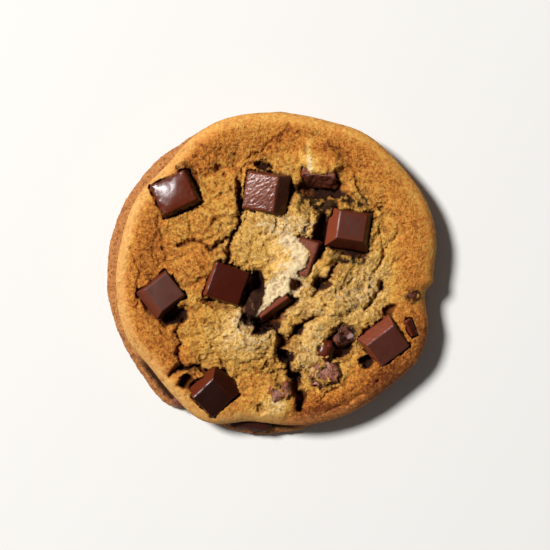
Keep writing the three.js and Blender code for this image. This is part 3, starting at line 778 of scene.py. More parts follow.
def mesh_object(name, points, faces, smooth=True, attributes=()):
    """A new object from points in millimetres, triangles, and one value a point for attributes."""
    mesh = bpy.data.meshes.new(name)
    mesh.from_pydata((np.asarray(points) * MM).tolist(), [], np.asarray(faces).tolist())
    mesh.polygons.foreach_set("use_smooth", [smooth] * len(mesh.polygons))
    for label, values in dict(attributes).items():
        layer = mesh.attributes.new(label, "FLOAT", "POINT")
        layer.data.foreach_set("value", np.asarray(values, np.float32))
    mesh.validate()
    mesh.update()
    made = bpy.data.objects.new(name, mesh)
    bpy.context.scene.collection.objects.link(made)
    return made


def point_normals(points, faces):
    """Unit normals at the points, from the triangles around each."""
    a, b, c = points[faces[:, 0]], points[faces[:, 1]], points[faces[:, 2]]
    flat = np.cross(b - a, c - a)
    normals = np.zeros_like(points)
    for corner in range(3):
        for axis in range(3):
            normals[:, axis] += np.bincount(faces[:, corner], flat[:, axis], len(points))
    return normals / np.maximum(np.linalg.norm(normals, axis=1, keepdims=True), 1e-12)


class CookieDough(bpy.types.PropertyGroup):
    """Sizes of the crumb and colours of the baked dough."""

    clod_size: FloatProperty(
        name="Clod size", description="Width of the broken clods in the middle",
        default=0.0024, unit="LENGTH", precision=5)
    clod_height: FloatProperty(
        name="Clod height", description="Height of the clods over their seams",
        default=0.00028, unit="LENGTH", precision=5)
    grain_size: FloatProperty(
        name="Grain size", description="Width of the crumb's grains",
        default=0.0009, unit="LENGTH", precision=5)
    grain_height: FloatProperty(
        name="Grain height", description="Height of the crumb's grains",
        default=0.00024, unit="LENGTH", precision=5)
    pore_size: FloatProperty(
        name="Pore spacing", description="Mean distance between open pores",
        default=0.0013, unit="LENGTH", precision=5)
    pore_depth: FloatProperty(
        name="Pore depth", description="Depth of an open pore",
        default=0.00045, unit="LENGTH", precision=5)
    wrinkle_size: FloatProperty(
        name="Wrinkle size", description="Width of the fine wrinkles on the rim",
        default=0.0011, unit="LENGTH", precision=5)
    wrinkle_height: FloatProperty(
        name="Wrinkle height", description="Height of the fine wrinkles on the rim",
        default=0.00012, unit="LENGTH", precision=5)
    pocket_gap: FloatProperty(
        name="Pocket gap", description="Mean gap between a chunk and the crumb around it",
        default=0.00035, unit="LENGTH", precision=5)
    cream: FloatVectorProperty(
        name="Cream dough", description="Least baked dough, of the lips over chocolate",
        subtype="COLOR", default=linear("e4ca9c"), min=0, max=1)
    pale: FloatVectorProperty(
        name="Pale crumb", description="Lightly baked crumb in the middle",
        subtype="COLOR", default=linear("e9bc70"), min=0, max=1)
    golden: FloatVectorProperty(
        name="Golden crumb", description="Evenly baked crumb",
        subtype="COLOR", default=linear("d3a048"), min=0, max=1)
    browned: FloatVectorProperty(
        name="Browned crust", description="Browned ring and rim",
        subtype="COLOR", default=linear("cb7c30"), min=0, max=1)
    # Also the painted shade between grains, in pores, seams, cracks and hollows
    dark: FloatVectorProperty(
        name="Dark crust", description="Most baked spots, seams and underside",
        subtype="COLOR", default=linear("6f3410"), min=0, max=1)
    # Also laid over the lip's painted light, to dull it
    skirt: FloatVectorProperty(
        name="Side crust", description="Duller, pinkish crust of the lower side",
        subtype="COLOR", default=linear("ad7c58"), min=0, max=1)
    # Also the painted shade in deep hollows and in the slit under the lip
    stain_and_shade: FloatVectorProperty(
        name="Stained crumb", description="Crumb soaked with melted chocolate",
        subtype="COLOR", default=linear("240d05"), min=0, max=1)


class CookieChocolate(bpy.types.PropertyGroup):
    """Colours and finish of the chocolate."""

    body: FloatVectorProperty(
        name="Chocolate", description="Fresh dark chocolate",
        subtype="COLOR", default=linear("401003"), min=0, max=1)
    bloom: FloatVectorProperty(
        name="Bloom", description="Dull greyish chocolate",
        subtype="COLOR", default=linear("543026"), min=0, max=1)
    pink: FloatVectorProperty(
        name="Pinkish bloom", description="Streaks where melted fat has set pale",
        subtype="COLOR", default=linear("9a6049"), min=0, max=1)
    # Nearly black faces, and the painted shade on chunk sides that face away from the key light
    deep: FloatVectorProperty(
        name="Deep", description="Nearly black chocolate",
        subtype="COLOR", default=linear("200803"), min=0, max=1)
    # Red of whole chunks and of face frames, and the painted light on chunk sides that face the key
    # light
    cut: FloatVectorProperty(
        name="Cut side", description="Redder sides of a chunk",
        subtype="COLOR", default=linear("76351e"), min=0, max=1)


class CookieCrumbs(bpy.types.PropertyGroup):
    """Loose crumbs on the top."""

    count: IntProperty(
        name="Crumbs", description="How many loose crumbs lie on the top", default=260,
        min=1, subtype="UNSIGNED")
    smallest: FloatProperty(
        name="Smallest", description="Width of the smallest crumb",
        default=0.0003, unit="LENGTH", precision=5)
    largest: FloatProperty(
        name="Largest", description="Width of the largest crumb",
        default=0.0006, unit="LENGTH", precision=5)
    seed: IntProperty(
        name="Seed", description="Seed of the crumbs' places", default=5, subtype="UNSIGNED")


class CookieStage(bpy.types.PropertyGroup):
    """Floor, lights and camera."""

    floor: FloatVectorProperty(
        name="Floor", description="Pale paper under the cookie",
        subtype="COLOR", default=linear("d9d7d3"), min=0, max=1)
    key_power: FloatProperty(
        name="Key light", description="Power of the softbox", default=78, unit="POWER")
    key_size: FloatProperty(
        name="Key size", description="Width of the softbox", default=0.5, unit="LENGTH")
    key_distance: FloatProperty(
        name="Key distance", description="Distance of the softbox", default=2.2, unit="LENGTH")
    key_bearing: FloatProperty(
        name="Key bearing", description="Where the softbox stands, from +X towards +Y",
        default=math.radians(149), subtype="ANGLE")
    key_elevation: FloatProperty(
        name="Key elevation", description="Height of the softbox above the floor",
        default=math.radians(51), subtype="ANGLE")
    fill: FloatProperty(
        name="Fill", description="Strength of the light from all round",
        default=0.085, min=0, subtype="FACTOR")
    lens: FloatProperty(
        name="Lens", description="Focal length", default=135, unit="CAMERA")
    view_width: FloatProperty(
        name="View width", description="Width that the picture takes in at the lip's height",
        default=0.14575, unit="LENGTH")


def top_form(x, y, bearing):
    """The top's smooth form, its share of the lip's reach, and how craggy each place is."""
    ring = np.hypot(x, y) / around(LIP_REACH, bearing)
    shoulder = np.clip((1 - ring) / SHOULDER_SHARE, 0, 1)
    form = (LIP_HEIGHT + RIM_RISE * np.sqrt(1 - (1 - shoulder) ** 2)
            - VALLEY_DEPTH * np.exp(-((ring - VALLEY_RING) / VALLEY_SPREAD) ** 2)
            + DOME_RISE * smoothstep(DOME_OUTER_RING, DOME_INNER_RING, ring))
    wander = CRAG_WANDER * noise(x / CRAG_WANDER_SIZE, y / CRAG_WANDER_SIZE, SEED_WANDER)
    craggy = smoothstep(CRAG_OUTER_RING, CRAG_INNER_RING, ring + wander)
    return form, ring, craggy


def bent_place(x, y):
    """Places moved a little, so that cracks and patches drawn at them get ragged edges."""
    return [place + BEND * noise(x / BEND_SIZE, y / BEND_SIZE, SEED_BEND + axis)
            + RAGGEDNESS * rough_noise(x / RAGGED_SIZE, y / RAGGED_SIZE, SEED_RAGGED + 5 * axis)
            for axis, place in enumerate((x, y))]


def top_relief(x, y, craggy):
    """Plates, lumps, cracks and hollows over the smooth form, with ragged edges."""
    own, to_seam = cells(x / PLATE_SIZE, y / PLATE_SIZE, SEED_PLATES)
    seam = np.exp(-((to_seam * PLATE_SIZE / SEAM_WIDTH) ** 2))
    relief = (craggy * (PLATE_STEP * (own - 0.5) - SEAM_DEPTH * seam)
              + (LUMPINESS_AT_RIM + (LUMPINESS - LUMPINESS_AT_RIM) * craggy)
              * rough_noise(x / LUMP_SIZE, y / LUMP_SIZE, SEED_LUMPS))
    for at, half, turn, share in CALM_PLACES:
        relief *= 1 - share * patch(x, y, at, half, turn, PLAIN_EDGE)
    bent_x, bent_y = bent_place(x, y)
    cavity = np.zeros(x.shape)
    for width, depth, path in CRACKS:
        near = path_distance(bent_x, bent_y, path)
        for depth_share, width_share in CRACK_SECTION:
            cavity += depth_share * depth * np.exp(-((near / (width_share * width)) ** 2))
    for width, depth, path in HAIR_CRACKS:
        cavity += depth * np.exp(-((path_distance(bent_x, bent_y, path) / width) ** 2))
    for at, half, turn, rise in HOLLOWS:
        cavity -= rise * patch(bent_x, bent_y, at, half, turn, SHARP_EDGE)
    for at, radius, depth in PITS:
        cavity += depth * patch(bent_x, bent_y, at, (radius, radius), 0, PLAIN_EDGE)
    raised = np.zeros(x.shape)
    for at, half, turn, rise in PLATES:
        raised += rise * patch(bent_x, bent_y, at, half, turn, FIRM_EDGE)
    return relief + raised - cavity, cavity


def lap_flaps(x, y, height):
    """Lifts the dough into the lips that lie over chocolate, and says where they are."""
    bent_x, bent_y = bent_place(x, y)
    lapped = np.zeros(x.shape)
    for at, half, turn, level in FLAPS:
        share = patch(bent_x, bent_y, at, half, turn, SHARP_EDGE)
        height = height + np.maximum(0, level - height) * share
        lapped = np.maximum(lapped, share)
    return height, lapped


def cut_pockets(points, gap, lapped):
    """Lowers the top around and under each chunk that shows, and says how near chocolate is."""
    height = points[:, 2].copy()
    nearness = np.zeros(len(points))
    for chunk in CHUNKS.values():
        if chunk["at"][2] < LIP_HEIGHT:
            continue
        away = np.hypot(points[:, 0] - chunk["at"][0], points[:, 1] - chunk["at"][1])
        near = away < POCKET_REACH
        place = points[near]
        x, y = place[:, :2].T / GAP_WAVER_SIZE
        outside, above = chunk_distance(place, chunk)
        width = gap * (GAP_LEAST + GAP_UNEVENNESS * rough_noise(x, y, SEED_GAP))
        if "melted" in chunk:
            width = width - MELTED_OVERLAP
        bare = np.ones(len(place))
        if "flapped" in chunk:
            bare = ((1 - smoothstep(*FLAP_BEGINS, lapped[near]))
                    * smoothstep(*FLAP_CLEARANCE, above))
        inside = smoothstep(width + GAP_EDGE, width, outside) * bare
        surface = np.zeros(len(place))
        for step in range(SLOPE_STEPS):
            beyond = chunk_distance(place, chunk, step / SLOPE_STEPS)[0] > 0
            surface = np.where(beyond, (step + 1) / SLOPE_STEPS * chunk["drop"], surface)
        sunk = -above - surface - POCKET_ROOM - GAP_DEPTH * smoothstep(*GAP_OPENING, width)
        change = np.minimum(0, sunk)
        if "melted" in chunk:
            cover = COVER_UNEVENNESS * rough_noise(x, y, SEED_GAP + 8)
            cover = np.clip(cover + chunk.get("cover", MEAN_COVER), *COVER_LIMITS)
            change = np.clip(np.maximum(sunk, cover - above), *COVER_CHANGE_LIMITS)
        height[near] += change * inside
        through = np.maximum(bare, SOAK_THROUGH_FLAP)
        soak = np.exp(-np.maximum(outside, 0) / SOAK_REACH) * through
        nearness[near] = np.maximum(nearness[near], soak)
    return height, nearness


def side_profile(bearing):
    """Reach and height of the levels below the lip, from the lip down to the underside's edge."""
    lip, skirt = around(LIP_REACH, bearing), around(SKIRT_REACH, bearing)
    crease = np.minimum(lip, skirt) - around(CREASE_DEPTH, bearing)
    place = lip / CREASE_WAVER_SIZE
    crease_height = CREASE_HEIGHT + CREASE_WAVER * noise(
        place * np.cos(bearing * DEGREE), place * np.sin(bearing * DEGREE), SEED_CREASE)
    full = np.ones_like(lip)
    levels = [
        (lip, LIP_HEIGHT * full),
        (lip - UNDER_LIP_SHARE * (lip - crease), UNDER_LIP_HEIGHT * full),
        (crease, crease_height),
        (skirt - SKIRT_TOP_SHARE * (skirt - crease), SKIRT_TOP_HEIGHT * full),
        (skirt, SKIRT_HEIGHT * full),
        (skirt - FOOT_INSET, FOOT_HEIGHT * full),
        (skirt - UNDERSIDE_INSET, 0 * full),
    ]
    waver = [SIDE_WAVER * noise(bearing / 360 * SIDE_WAVERS_AROUND, height / SIDE_WAVER_SIZE,
                                SEED_SIDE) for _, height in levels]
    waver[0] = 0 * full
    waver[-1] = 0 * full
    return [(reach + w, height) for (reach, height), w in zip(levels, waver)]


def between(rows, k, t):
    """A smooth curve through rows of numbers, at the share t of the way from row k to the next."""
    last = len(rows) - 1
    before, start, end, after = (rows[min(max(n, 0), last)] for n in (k - 1, k, k + 1, k + 2))
    into, out = (end - before) / 2, (after - start) / 2
    return (start * (1 + 2 * t) * (1 - t) ** 2 + into * t * (1 - t) ** 2
            + end * t * t * (3 - 2 * t) - out * t * t * (1 - t))


def ring_faces(upper, lower):
    """Triangles between two closed rings of the same count, the upper one given first."""
    return np.concatenate([
        np.column_stack([upper, lower, np.roll(lower, -1)]),
        np.column_stack([upper, np.roll(lower, -1), np.roll(upper, -1)]),
    ])


def disc_grid(rings):
    """Places and triangles of a disc whose ring k has 6 k points: each point's ring and bearing."""
    ring = [np.zeros(1)]
    bearing = [np.zeros(1)]
    faces = []
    for k in range(1, rings + 1):
        ring.append(np.full(6 * k, float(k)))
        bearing.append(np.arange(6 * k) * 60 / k)
        start, inner_start = 1 + 3 * k * (k - 1), 1 + 3 * (k - 1) * (k - 2) if k > 1 else 0
        sector, j = np.divmod(np.arange(6 * k), k)
        outer = start + np.arange(6 * k)
        after = start + (np.arange(6 * k) + 1) % (6 * k)
        inside = max(6 * (k - 1), 1)
        inner = inner_start + (sector * (k - 1) + j) % inside
        inner_after = inner_start + (sector * (k - 1) + j + 1) % inside
        faces.append(np.column_stack([inner, outer, after]))
        second = j < k - 1
        faces.append(np.column_stack([inner, after, inner_after])[second])
    return np.concatenate(ring), np.concatenate(bearing), np.concatenate(faces)


def dough_mesh(sizes):
    """Points, triangles and surface values of the whole dough: top, rolled side and underside."""
    ring_number, bearing, faces = disc_grid(TOP_RINGS)
    t = ring_number / TOP_RINGS
    share = t * (1 + RING_CROWDING * (1 - t ** RING_CROWDING_POWER))
    reach = share * around(LIP_REACH, bearing)
    x, y = reach * np.cos(bearing * DEGREE), reach * np.sin(bearing * DEGREE)
    form, ring, craggy = top_form(x, y, bearing)
    relief, cavity = top_relief(x, y, craggy)
    calm = smoothstep(1, EDGE_CALM_RING, ring)
    height, lapped = lap_flaps(x, y, np.maximum(LOWEST_TOP, form + calm * relief))
    top = np.column_stack([x, y, height])
    top[:, 2], nearness = cut_pockets(top, sizes.pocket_gap / MM, lapped)

    count = 6 * TOP_RINGS
    round_bearing = np.arange(count) * 360 / count
    profile = [np.column_stack(level) for level in side_profile(round_bearing)]
    points = [top]
    all_faces = [faces]
    upper = np.arange(len(top) - count, len(top))
    total = len(top)
    direction = np.column_stack([np.cos(round_bearing * DEGREE), np.sin(round_bearing * DEGREE)])
    for k in range(len(profile) - 1):
        for step in range(1, SIDE_STEPS + 1):
            level = between(profile, k, step / SIDE_STEPS)
            points.append(np.column_stack([direction * level[:, :1], level[:, 1]]))
            lower = np.arange(total, total + count)
            all_faces.append(ring_faces(upper, lower))
            upper, total = lower, total + count
    edge = points[-1]
    for inner in range(UNDERSIDE_RINGS - 1, 0, -1):
        points.append(edge * (inner / UNDERSIDE_RINGS, inner / UNDERSIDE_RINGS, 1))
        lower = np.arange(total, total + count)
        all_faces.append(ring_faces(upper, lower))
        upper, total = lower, total + count
    points.append(np.zeros((1, 3)))
    all_faces.append(np.column_stack([np.full(count, total), np.roll(upper, -1), upper]))

    points, faces = np.concatenate(points), np.concatenate(all_faces)
    extra = len(points) - len(top)
    values = {
        "ring": np.concatenate([ring, np.ones(extra)]),
        "craggy": np.concatenate([craggy, np.zeros(extra)]),
        "cavity": np.concatenate([cavity * calm, np.zeros(extra)]),
        "nearness": np.concatenate([nearness, np.zeros(extra)]),
        "lapped": np.concatenate([lapped, np.zeros(extra)]),
    }
    points, grain = add_crumb(points, faces, values, sizes)
    values["grain"] = grain
    return points, faces, values


def add_crumb(points, faces, values, sizes):
    """Moves the surface along its normals into clods, grains, pores and wrinkles."""
    clod, grain, pore, wrinkle = (size / MM for size in (
        sizes.clod_size, sizes.grain_size, sizes.pore_size, sizes.wrinkle_size))
    normals = point_normals(points, faces)
    at_lip = (smoothstep(*CALM_LIP_RING, values["ring"])
              * smoothstep(*CALM_LIP_HEIGHT, points[:, 2]))
    smooth = 1 - FLAP_CALM * values["lapped"]
    craggy = values["craggy"] * smooth
    wander = np.column_stack([space_noise(points / GRAIN_WANDER_SIZE, SEED_RAGGED + 20 + axis)
                              for axis in range(3)])
    place = points + GRAIN_WANDER * wander

    near, far, own = space_cells(place / clod, SEED_CLODS)
    seam = np.exp(-((far - near) * clod / CLOD_SEAM_WIDTH) ** 2)
    broken = smoothstep(*BROKEN_SHARE, space_noise(points / BROKEN_SIZE, SEED_CLODS + 5))
    clods = craggy * sizes.clod_height / MM * (CLOD_STEP * (own - 0.5) - seam * broken)

    rough = octaves(place, grain, GRAIN_LAYERS, SEED_GRAINS)
    grains = (GRAINS_ON_RIM + (1 - GRAINS_ON_RIM) * craggy) * sizes.grain_height / MM * rough

    speck = octaves(place, pore, PORE_LAYERS, SEED_PORES)
    patchy = PORE_PATCHINESS * space_noise(points / PORE_PATCH_SIZE, SEED_PORES + 2)
    open_pore = smoothstep(*PORE_OPENS, speck + patchy)
    open_pore *= (PORES_ON_RIM + (1 - PORES_ON_RIM) * craggy) * (1 - at_lip)
    pores = -sizes.pore_depth / MM * open_pore

    fine = octaves(place, wrinkle, WRINKLE_LAYERS, SEED_WRINKLES)
    wrinkles = (1 - WRINKLES_IN_CRAGS * craggy) * smooth * sizes.wrinkle_height / MM * fine

    moved = (clods + grains + pores + wrinkles) * (1 - LIP_CALM * at_lip)
    moved[points[:, 2] < UNDERSIDE_LIMIT] = 0
    near_floor = smoothstep(0, FLOOR_CALM_HEIGHT, points[:, 2])
    points = points + normals * (moved * near_floor)[:, None]
    points[:, 2] = np.maximum(points[:, 2], 0)
    # The second value is painted shade: it is low between grains, in open pores and in the seams
    # between clods
    return points, GRAIN_TONE * rough - open_pore - SEAM_TONE * seam * broken * craggy


def bake_values(points, values):
    """What the crumb's colour follows: how browned each point is, with painted light making the lip
    paler on its side towards the key light; how hollow, which draws painted shade; how stained with
    chocolate, with painted shade in deep hollows and the slit under the lip; and how grainy, which
    draws painted shade between grains and in pores, calm and dull it is."""
    x, y, z = points.T
    ring, craggy = values["ring"], values["craggy"]
    bearing = np.degrees(np.arctan2(y, x))
    lip = smoothstep(*LIP_TONE_RING, ring) * smoothstep(*LIP_TONE_HEIGHT, z)
    # Painted light: the upper lip is painted paler on the side that faces the key light
    lit_pale_lip = lip * around(LIT_LIP_PALENESS, bearing)
    flap = smoothstep(*FLAP_TONE, values["lapped"]) * craggy
    skirt = smoothstep(*SKIRT_TONE_HEIGHT, z)

    # Browned in a ring, paler in the middle and on the lips over chocolate, and painted paler on the
    # side of the upper lip that faces the key light, as painted light
    in_ring = np.exp(-((ring - BROWN_RING) / BROWN_RING_SPREAD) ** 2)
    browned = BROWNNESS + RING_BROWNNESS * in_ring - CRUMB_PALENESS * craggy
    for at, half, turn, strength in PALE_PLACES:
        browned -= PALE_PLACE_TONE * strength * patch(x, y, at, half, turn, SOFT_EDGE)
    for at, half, turn, strength in BROWN_PLACES:
        browned += BROWN_PLACE_TONE * strength * patch(x, y, at, half, turn, SOFT_EDGE)
    browned -= FLAP_PALENESS * flap + LIT_LIP_TONE * lit_pale_lip
    browned += skirt * (SKIRT_BROWNNESS - browned)
    for strength, size, step in TONE_PATCHES:
        browned += strength * rough_noise(x / size, y / size, SEED_TONE + step)
    browned = np.where(z < UNDERSIDE_TONE_HEIGHT, UNDERSIDE_BROWNNESS, browned)

    # Stained around chunks and in smeared places; stained and painted with shade in deep hollows;
    # painted shade in the slit under the lip
    hollow = np.clip(values["cavity"] / FULL_HOLLOW, 0, 1)
    uneven = rough_noise(x / SOAK_PATCH_SIZE, y / SOAK_PATCH_SIZE, SEED_STAIN)
    soak = values["nearness"] * (SOAK_MEAN + SOAK_UNEVENNESS * uneven)
    patchy = noise(x / HOLLOW_PATCH_SIZE, y / HOLLOW_PATCH_SIZE, SEED_STAIN + 1)
    deep = smoothstep(*STAINED_AND_SHADED_HOLLOW, hollow) * smoothstep(*HOLLOW_PATCH, patchy)
    slit = (smoothstep(*SLIT_DEPTH, around(CREASE_DEPTH, bearing)) * smoothstep(*SLIT_BOTTOM, z)
            * smoothstep(*SLIT_TOP, z))
    stain_and_shade = np.maximum(np.maximum(SOAK_STRENGTH * soak, HOLLOW_STAIN_AND_SHADE * deep), SLIT_SHADE * slit)
    speckled = smoothstep(*STAIN_SPECKLE, rough_noise(
        x / STAIN_SPECKLE_SIZE, y / STAIN_SPECKLE_SIZE, SEED_STAIN + 6))
    for at, half, turn, strength in STAIN_PLACES:
        share = strength * patch(x, y, at, half, turn, SOFT_EDGE)
        stain_and_shade = np.maximum(stain_and_shade, share * (STAIN_LEAST + (1 - STAIN_LEAST) * speckled))

    return {
        "browned": np.clip(browned, *BROWNED_LIMITS),
        "hollow": hollow,
        "stain_and_shade": np.clip(stain_and_shade, 0, 1),
        "grain": np.clip(values["grain"], -1, 1),
        "calm": np.maximum(lip, FLAP_CALM_COLOUR * flap),
        # The duller side colour also goes over the lip's painted light
        "skirt": np.maximum(skirt, LIP_DULLNESS * lit_pale_lip),
    }


def add_node(tree, kind, inputs=(), **settings):
    """Adds a node. inputs are values or other nodes' outputs, in the order of the node's inputs or
    by an input's name or number; settings are the node's own properties."""
    node = tree.nodes.new(kind)
    for name, value in settings.items():
        setattr(node, name, value)
    keyed = inputs if isinstance(inputs, dict) else dict(enumerate(inputs))
    for key, value in keyed.items():
        if isinstance(value, bpy.types.NodeSocket):
            tree.links.new(value, node.inputs[key])
        else:
            node.inputs[key].default_value = value
    return node


def new_material(name):
    """A named material, its nodes and its Principled surface."""
    material = bpy.data.materials.new(name)
    material.use_nodes = True
    tree = material.node_tree
    return material, tree, tree.nodes["Principled BSDF"]


def surface_values(tree, names):
    """Outputs of the nodes that read the values kept at a mesh's points."""
    return {name: add_node(tree, "ShaderNodeAttribute", attribute_name=name).outputs["Fac"]
            for name in names}


def baked_dough_material(colours):
    """Butter dough baked on a tray: a dry, matt crumb, golden to brown, with open pores."""
    material, tree, surface = new_material("butter_dough_baked")
    place = add_node(tree, "ShaderNodeTexCoord").outputs["Object"]
    value = surface_values(tree, ("browned", "hollow", "stain_and_shade", "grain", "calm", "skirt"))

    # Mottling of the crust, about 1.2 mm wide, and grains from 0.7 mm down
    mottle = add_node(tree, "ShaderNodeTexNoise", {
        "Vector": place, "Scale": 1 / 0.0012, "Detail": 3, "Roughness": 0.6}).outputs["Fac"]
    speckle = add_node(tree, "ShaderNodeTexNoise", {
        "Vector": place, "Scale": 1 / 0.0007, "Detail": 4, "Roughness": 0.8}).outputs["Fac"]
    browned = value["browned"]
    for pattern, limits in ((mottle, (0.3, 0.7, -0.14, 0.14)),
                            (speckle, (0.33, 0.67, -0.22, 0.22))):
        change = add_node(tree, "ShaderNodeMapRange", (pattern, *limits)).outputs[0]
        browned = add_node(tree, "ShaderNodeMath", (change, browned), operation="ADD").outputs[0]
    ramp = add_node(tree, "ShaderNodeValToRGB", (browned,))
    stops = ((0.0, colours.cream), (0.08, colours.pale), (0.37, colours.golden),
             (0.68, colours.browned), (1.0, colours.dark))
    for k, (position, colour) in enumerate(stops):
        stop = ramp.color_ramp.elements[k] if k < 2 else ramp.color_ramp.elements.new(position)
        stop.position = position
        stop.color = (*colour, 1)

    # Open pores 0.2 to 0.6 mm wide, which the mesh is too coarse for, none where the dough is calm;
    # they are sunk by a bump and painted darker, as painted shade
    ragged = add_node(tree, "ShaderNodeTexNoise", {
        "Vector": place, "Scale": 1 / 0.0006, "Detail": 1}).outputs["Color"]
    moved = add_node(tree, "ShaderNodeMix", {0: 0.0004, 6: place, 7: ragged}, data_type="RGBA",
                     blend_type="ADD").outputs[2]
    pore = add_node(tree, "ShaderNodeTexVoronoi", {
        "Vector": moved, "Scale": 1 / 0.00085}).outputs["Distance"]
    wide = add_node(tree, "ShaderNodeMapRange", (mottle, 0.35, 0.65, 0.1, 0.36)).outputs[0]
    open_share = add_node(tree, "ShaderNodeMapRange", (value["calm"], 0, 1, 1, 0)).outputs[0]
    narrowed = add_node(tree, "ShaderNodeMath", (wide, open_share),
                        operation="MULTIPLY").outputs[0]
    below = add_node(tree, "ShaderNodeMath", (narrowed, pore), operation="SUBTRACT").outputs[0]
    open_pore = add_node(tree, "ShaderNodeMapRange", (below, 0, 0.12, 0, 1)).outputs[0]

    # Specks of browner grains, fewer where the dough is calm
    fleck = add_node(tree, "ShaderNodeMapRange", (speckle, 0.5, 0.64, 0, 0.34)).outputs[0]
    fleck_share = add_node(tree, "ShaderNodeMapRange", (value["calm"], 0, 1, 1, 0.25)).outputs[0]
    specks = add_node(tree, "ShaderNodeMath", (fleck, fleck_share),
                      operation="MULTIPLY").outputs[0]

    # Laid over the ramp, each with the range of its strength: the duller lower side, specks, painted
    # shade between grains and in seams, painted shade in pores, painted shade in cracks and hollows,
    # and crumb soaked with melted chocolate, which also carries painted shade in deep hollows and in
    # the slit under the lip
    layers = (
        (value["skirt"], (0, 1, 0, 0.45), colours.skirt),
        (specks, (0, 1, 0, 1), colours.dark),
        (value["grain"], (-0.7, 0, 0.5, 0), colours.dark),
        (open_pore, (0, 1, 0, 0.68), colours.dark),
        (value["hollow"], (0.12, 0.8, 0, 0.9), colours.dark),
        (value["stain_and_shade"], (0.3, 0.9, 0, 0.95), colours.stain_and_shade),
    )
    colour = ramp.outputs[0]
    for source, limits, tint in layers:
        share = add_node(tree, "ShaderNodeMapRange", (source, *limits)).outputs[0]
        colour = add_node(tree, "ShaderNodeMix", {0: share, 6: colour, 7: (*tint, 1)},
                          data_type="RGBA").outputs[2]
    tree.links.new(colour, surface.inputs["Base Color"])

    # Grit of the crumb, from 0.5 mm down, and the pores sunk below it
    grit = add_node(tree, "ShaderNodeTexNoise", {
        "Vector": place, "Scale": 1 / 0.0005, "Detail": 3, "Roughness": 0.75}).outputs["Fac"]
    strength = add_node(tree, "ShaderNodeMapRange", (value["calm"], 0, 1, 1, 0.3)).outputs[0]
    bump = add_node(tree, "ShaderNodeBump", {
        "Height": grit, "Strength": strength, "Distance": 0.0007}).outputs[0]
    sunk = add_node(tree, "ShaderNodeBump", {
        "Height": open_pore, "Normal": bump, "Strength": 0.7, "Distance": 0.0003},
        invert=True).outputs[0]
    tree.links.new(sunk, surface.inputs["Normal"])
    surface.inputs["Roughness"].default_value = 0.8
    surface.inputs["Specular IOR Level"].default_value = 0.15
    return material


def chocolate_material(colours):
    """Tempered dark chocolate, melted and set again: satin, with dull greyish bloom in places."""
    material, tree, surface = new_material("dark_chocolate_tempered")
    place = add_node(tree, "ShaderNodeTexCoord").outputs["Object"]
    value = surface_values(tree, ("bloom", "pink", "dark", "side", "rough"))

    # Cloudy bloom, about 2.5 mm wide, and streaks of 0.8 mm
    cloud = add_node(tree, "ShaderNodeTexNoise", {
        "Vector": place, "Scale": 1 / 0.0025, "Detail": 3, "Roughness": 0.55}).outputs["Fac"]
    streak = add_node(tree, "ShaderNodeTexNoise", {
        "Vector": place, "Scale": 1 / 0.0008, "Detail": 3, "Roughness": 0.7,
        "Distortion": 1.2}).outputs["Fac"]
    for name, pattern, limits in (("bloom", cloud, (0.3, 0.7, 0.7, 1.15)),
                                  ("pink", streak, (0.4, 0.6, 0.15, 1.1))):
        share = add_node(tree, "ShaderNodeMapRange", (pattern, *limits)).outputs[0]
        value[name] = add_node(tree, "ShaderNodeMath", (value[name], share),
                               operation="MULTIPLY", use_clamp=True).outputs[0]

    # Redder sides and faces, with painted light on the sides towards the key light; nearly black
    # parts, with painted shade on the sides away from it; bloom and pinkish streaks, laid over one
    # another
    colour = (*colours.body, 1)
    for name, tint in (("side", colours.cut), ("dark", colours.deep), ("bloom", colours.bloom),
                       ("pink", colours.pink)):
        colour = add_node(tree, "ShaderNodeMix", {0: value[name], 6: colour, 7: (*tint, 1)},
                          data_type="RGBA").outputs[2]
    tree.links.new(colour, surface.inputs["Base Color"])
    tree.links.new(value["rough"], surface.inputs["Roughness"])

    # Fine scuffs of 0.3 mm
    scuff = add_node(tree, "ShaderNodeTexNoise", {
        "Vector": place, "Scale": 1 / 0.0003, "Detail": 2, "Roughness": 0.6}).outputs["Fac"]
    bump = add_node(tree, "ShaderNodeBump", {
        "Height": scuff, "Strength": 0.25, "Distance": 0.00006}).outputs[0]
    tree.links.new(bump, surface.inputs["Normal"])
    surface.inputs["IOR"].default_value = 1.45
    surface.inputs["Specular IOR Level"].default_value = 0.33
    return material


def paper_material(colour):
    """Uncoated white paper: pale and matt, without a gleam."""
    material, _, surface = new_material("paper_matt_white")
    surface.inputs["Base Color"].default_value = (*colour, 1)
    surface.inputs["Roughness"].default_value = 0.9
    return material


def block_grid(cuts):
    """Points and triangles of a cube from -1 to 1, closer together towards its edges."""
    quarter = math.pi / 2 * EDGE_CROWDING

    def row(value):
        return math.sin(value * quarter) / math.sin(quarter)

    steps = [row(-1 + 2 * k / cuts) for k in range(cuts + 1)]
    index = {}
    points, faces = [], []

    def point(p):
        key = tuple(round(c, 6) for c in p)
        if key not in index:
            index[key] = len(points)
            points.append(p)
        return index[key]

    for axis in range(3):
        for end in (-1, 1):
            for a in range(cuts):
                for b in range(cuts):
                    corners = []
                    for da, db in ((0, 0), (1, 0), (1, 1), (0, 1)):
                        p = [0, 0, 0]
                        p[axis] = end
                        p[(axis + 1) % 3] = steps[a + da]
                        p[(axis + 2) % 3] = steps[b + db]
                        corners.append(point(tuple(p)))
                    if end < 0:
                        corners.reverse()
                    faces.append((corners[0], corners[1], corners[2]))
                    faces.append((corners[0], corners[2], corners[3]))
    return np.array(points, float), np.array(faces)


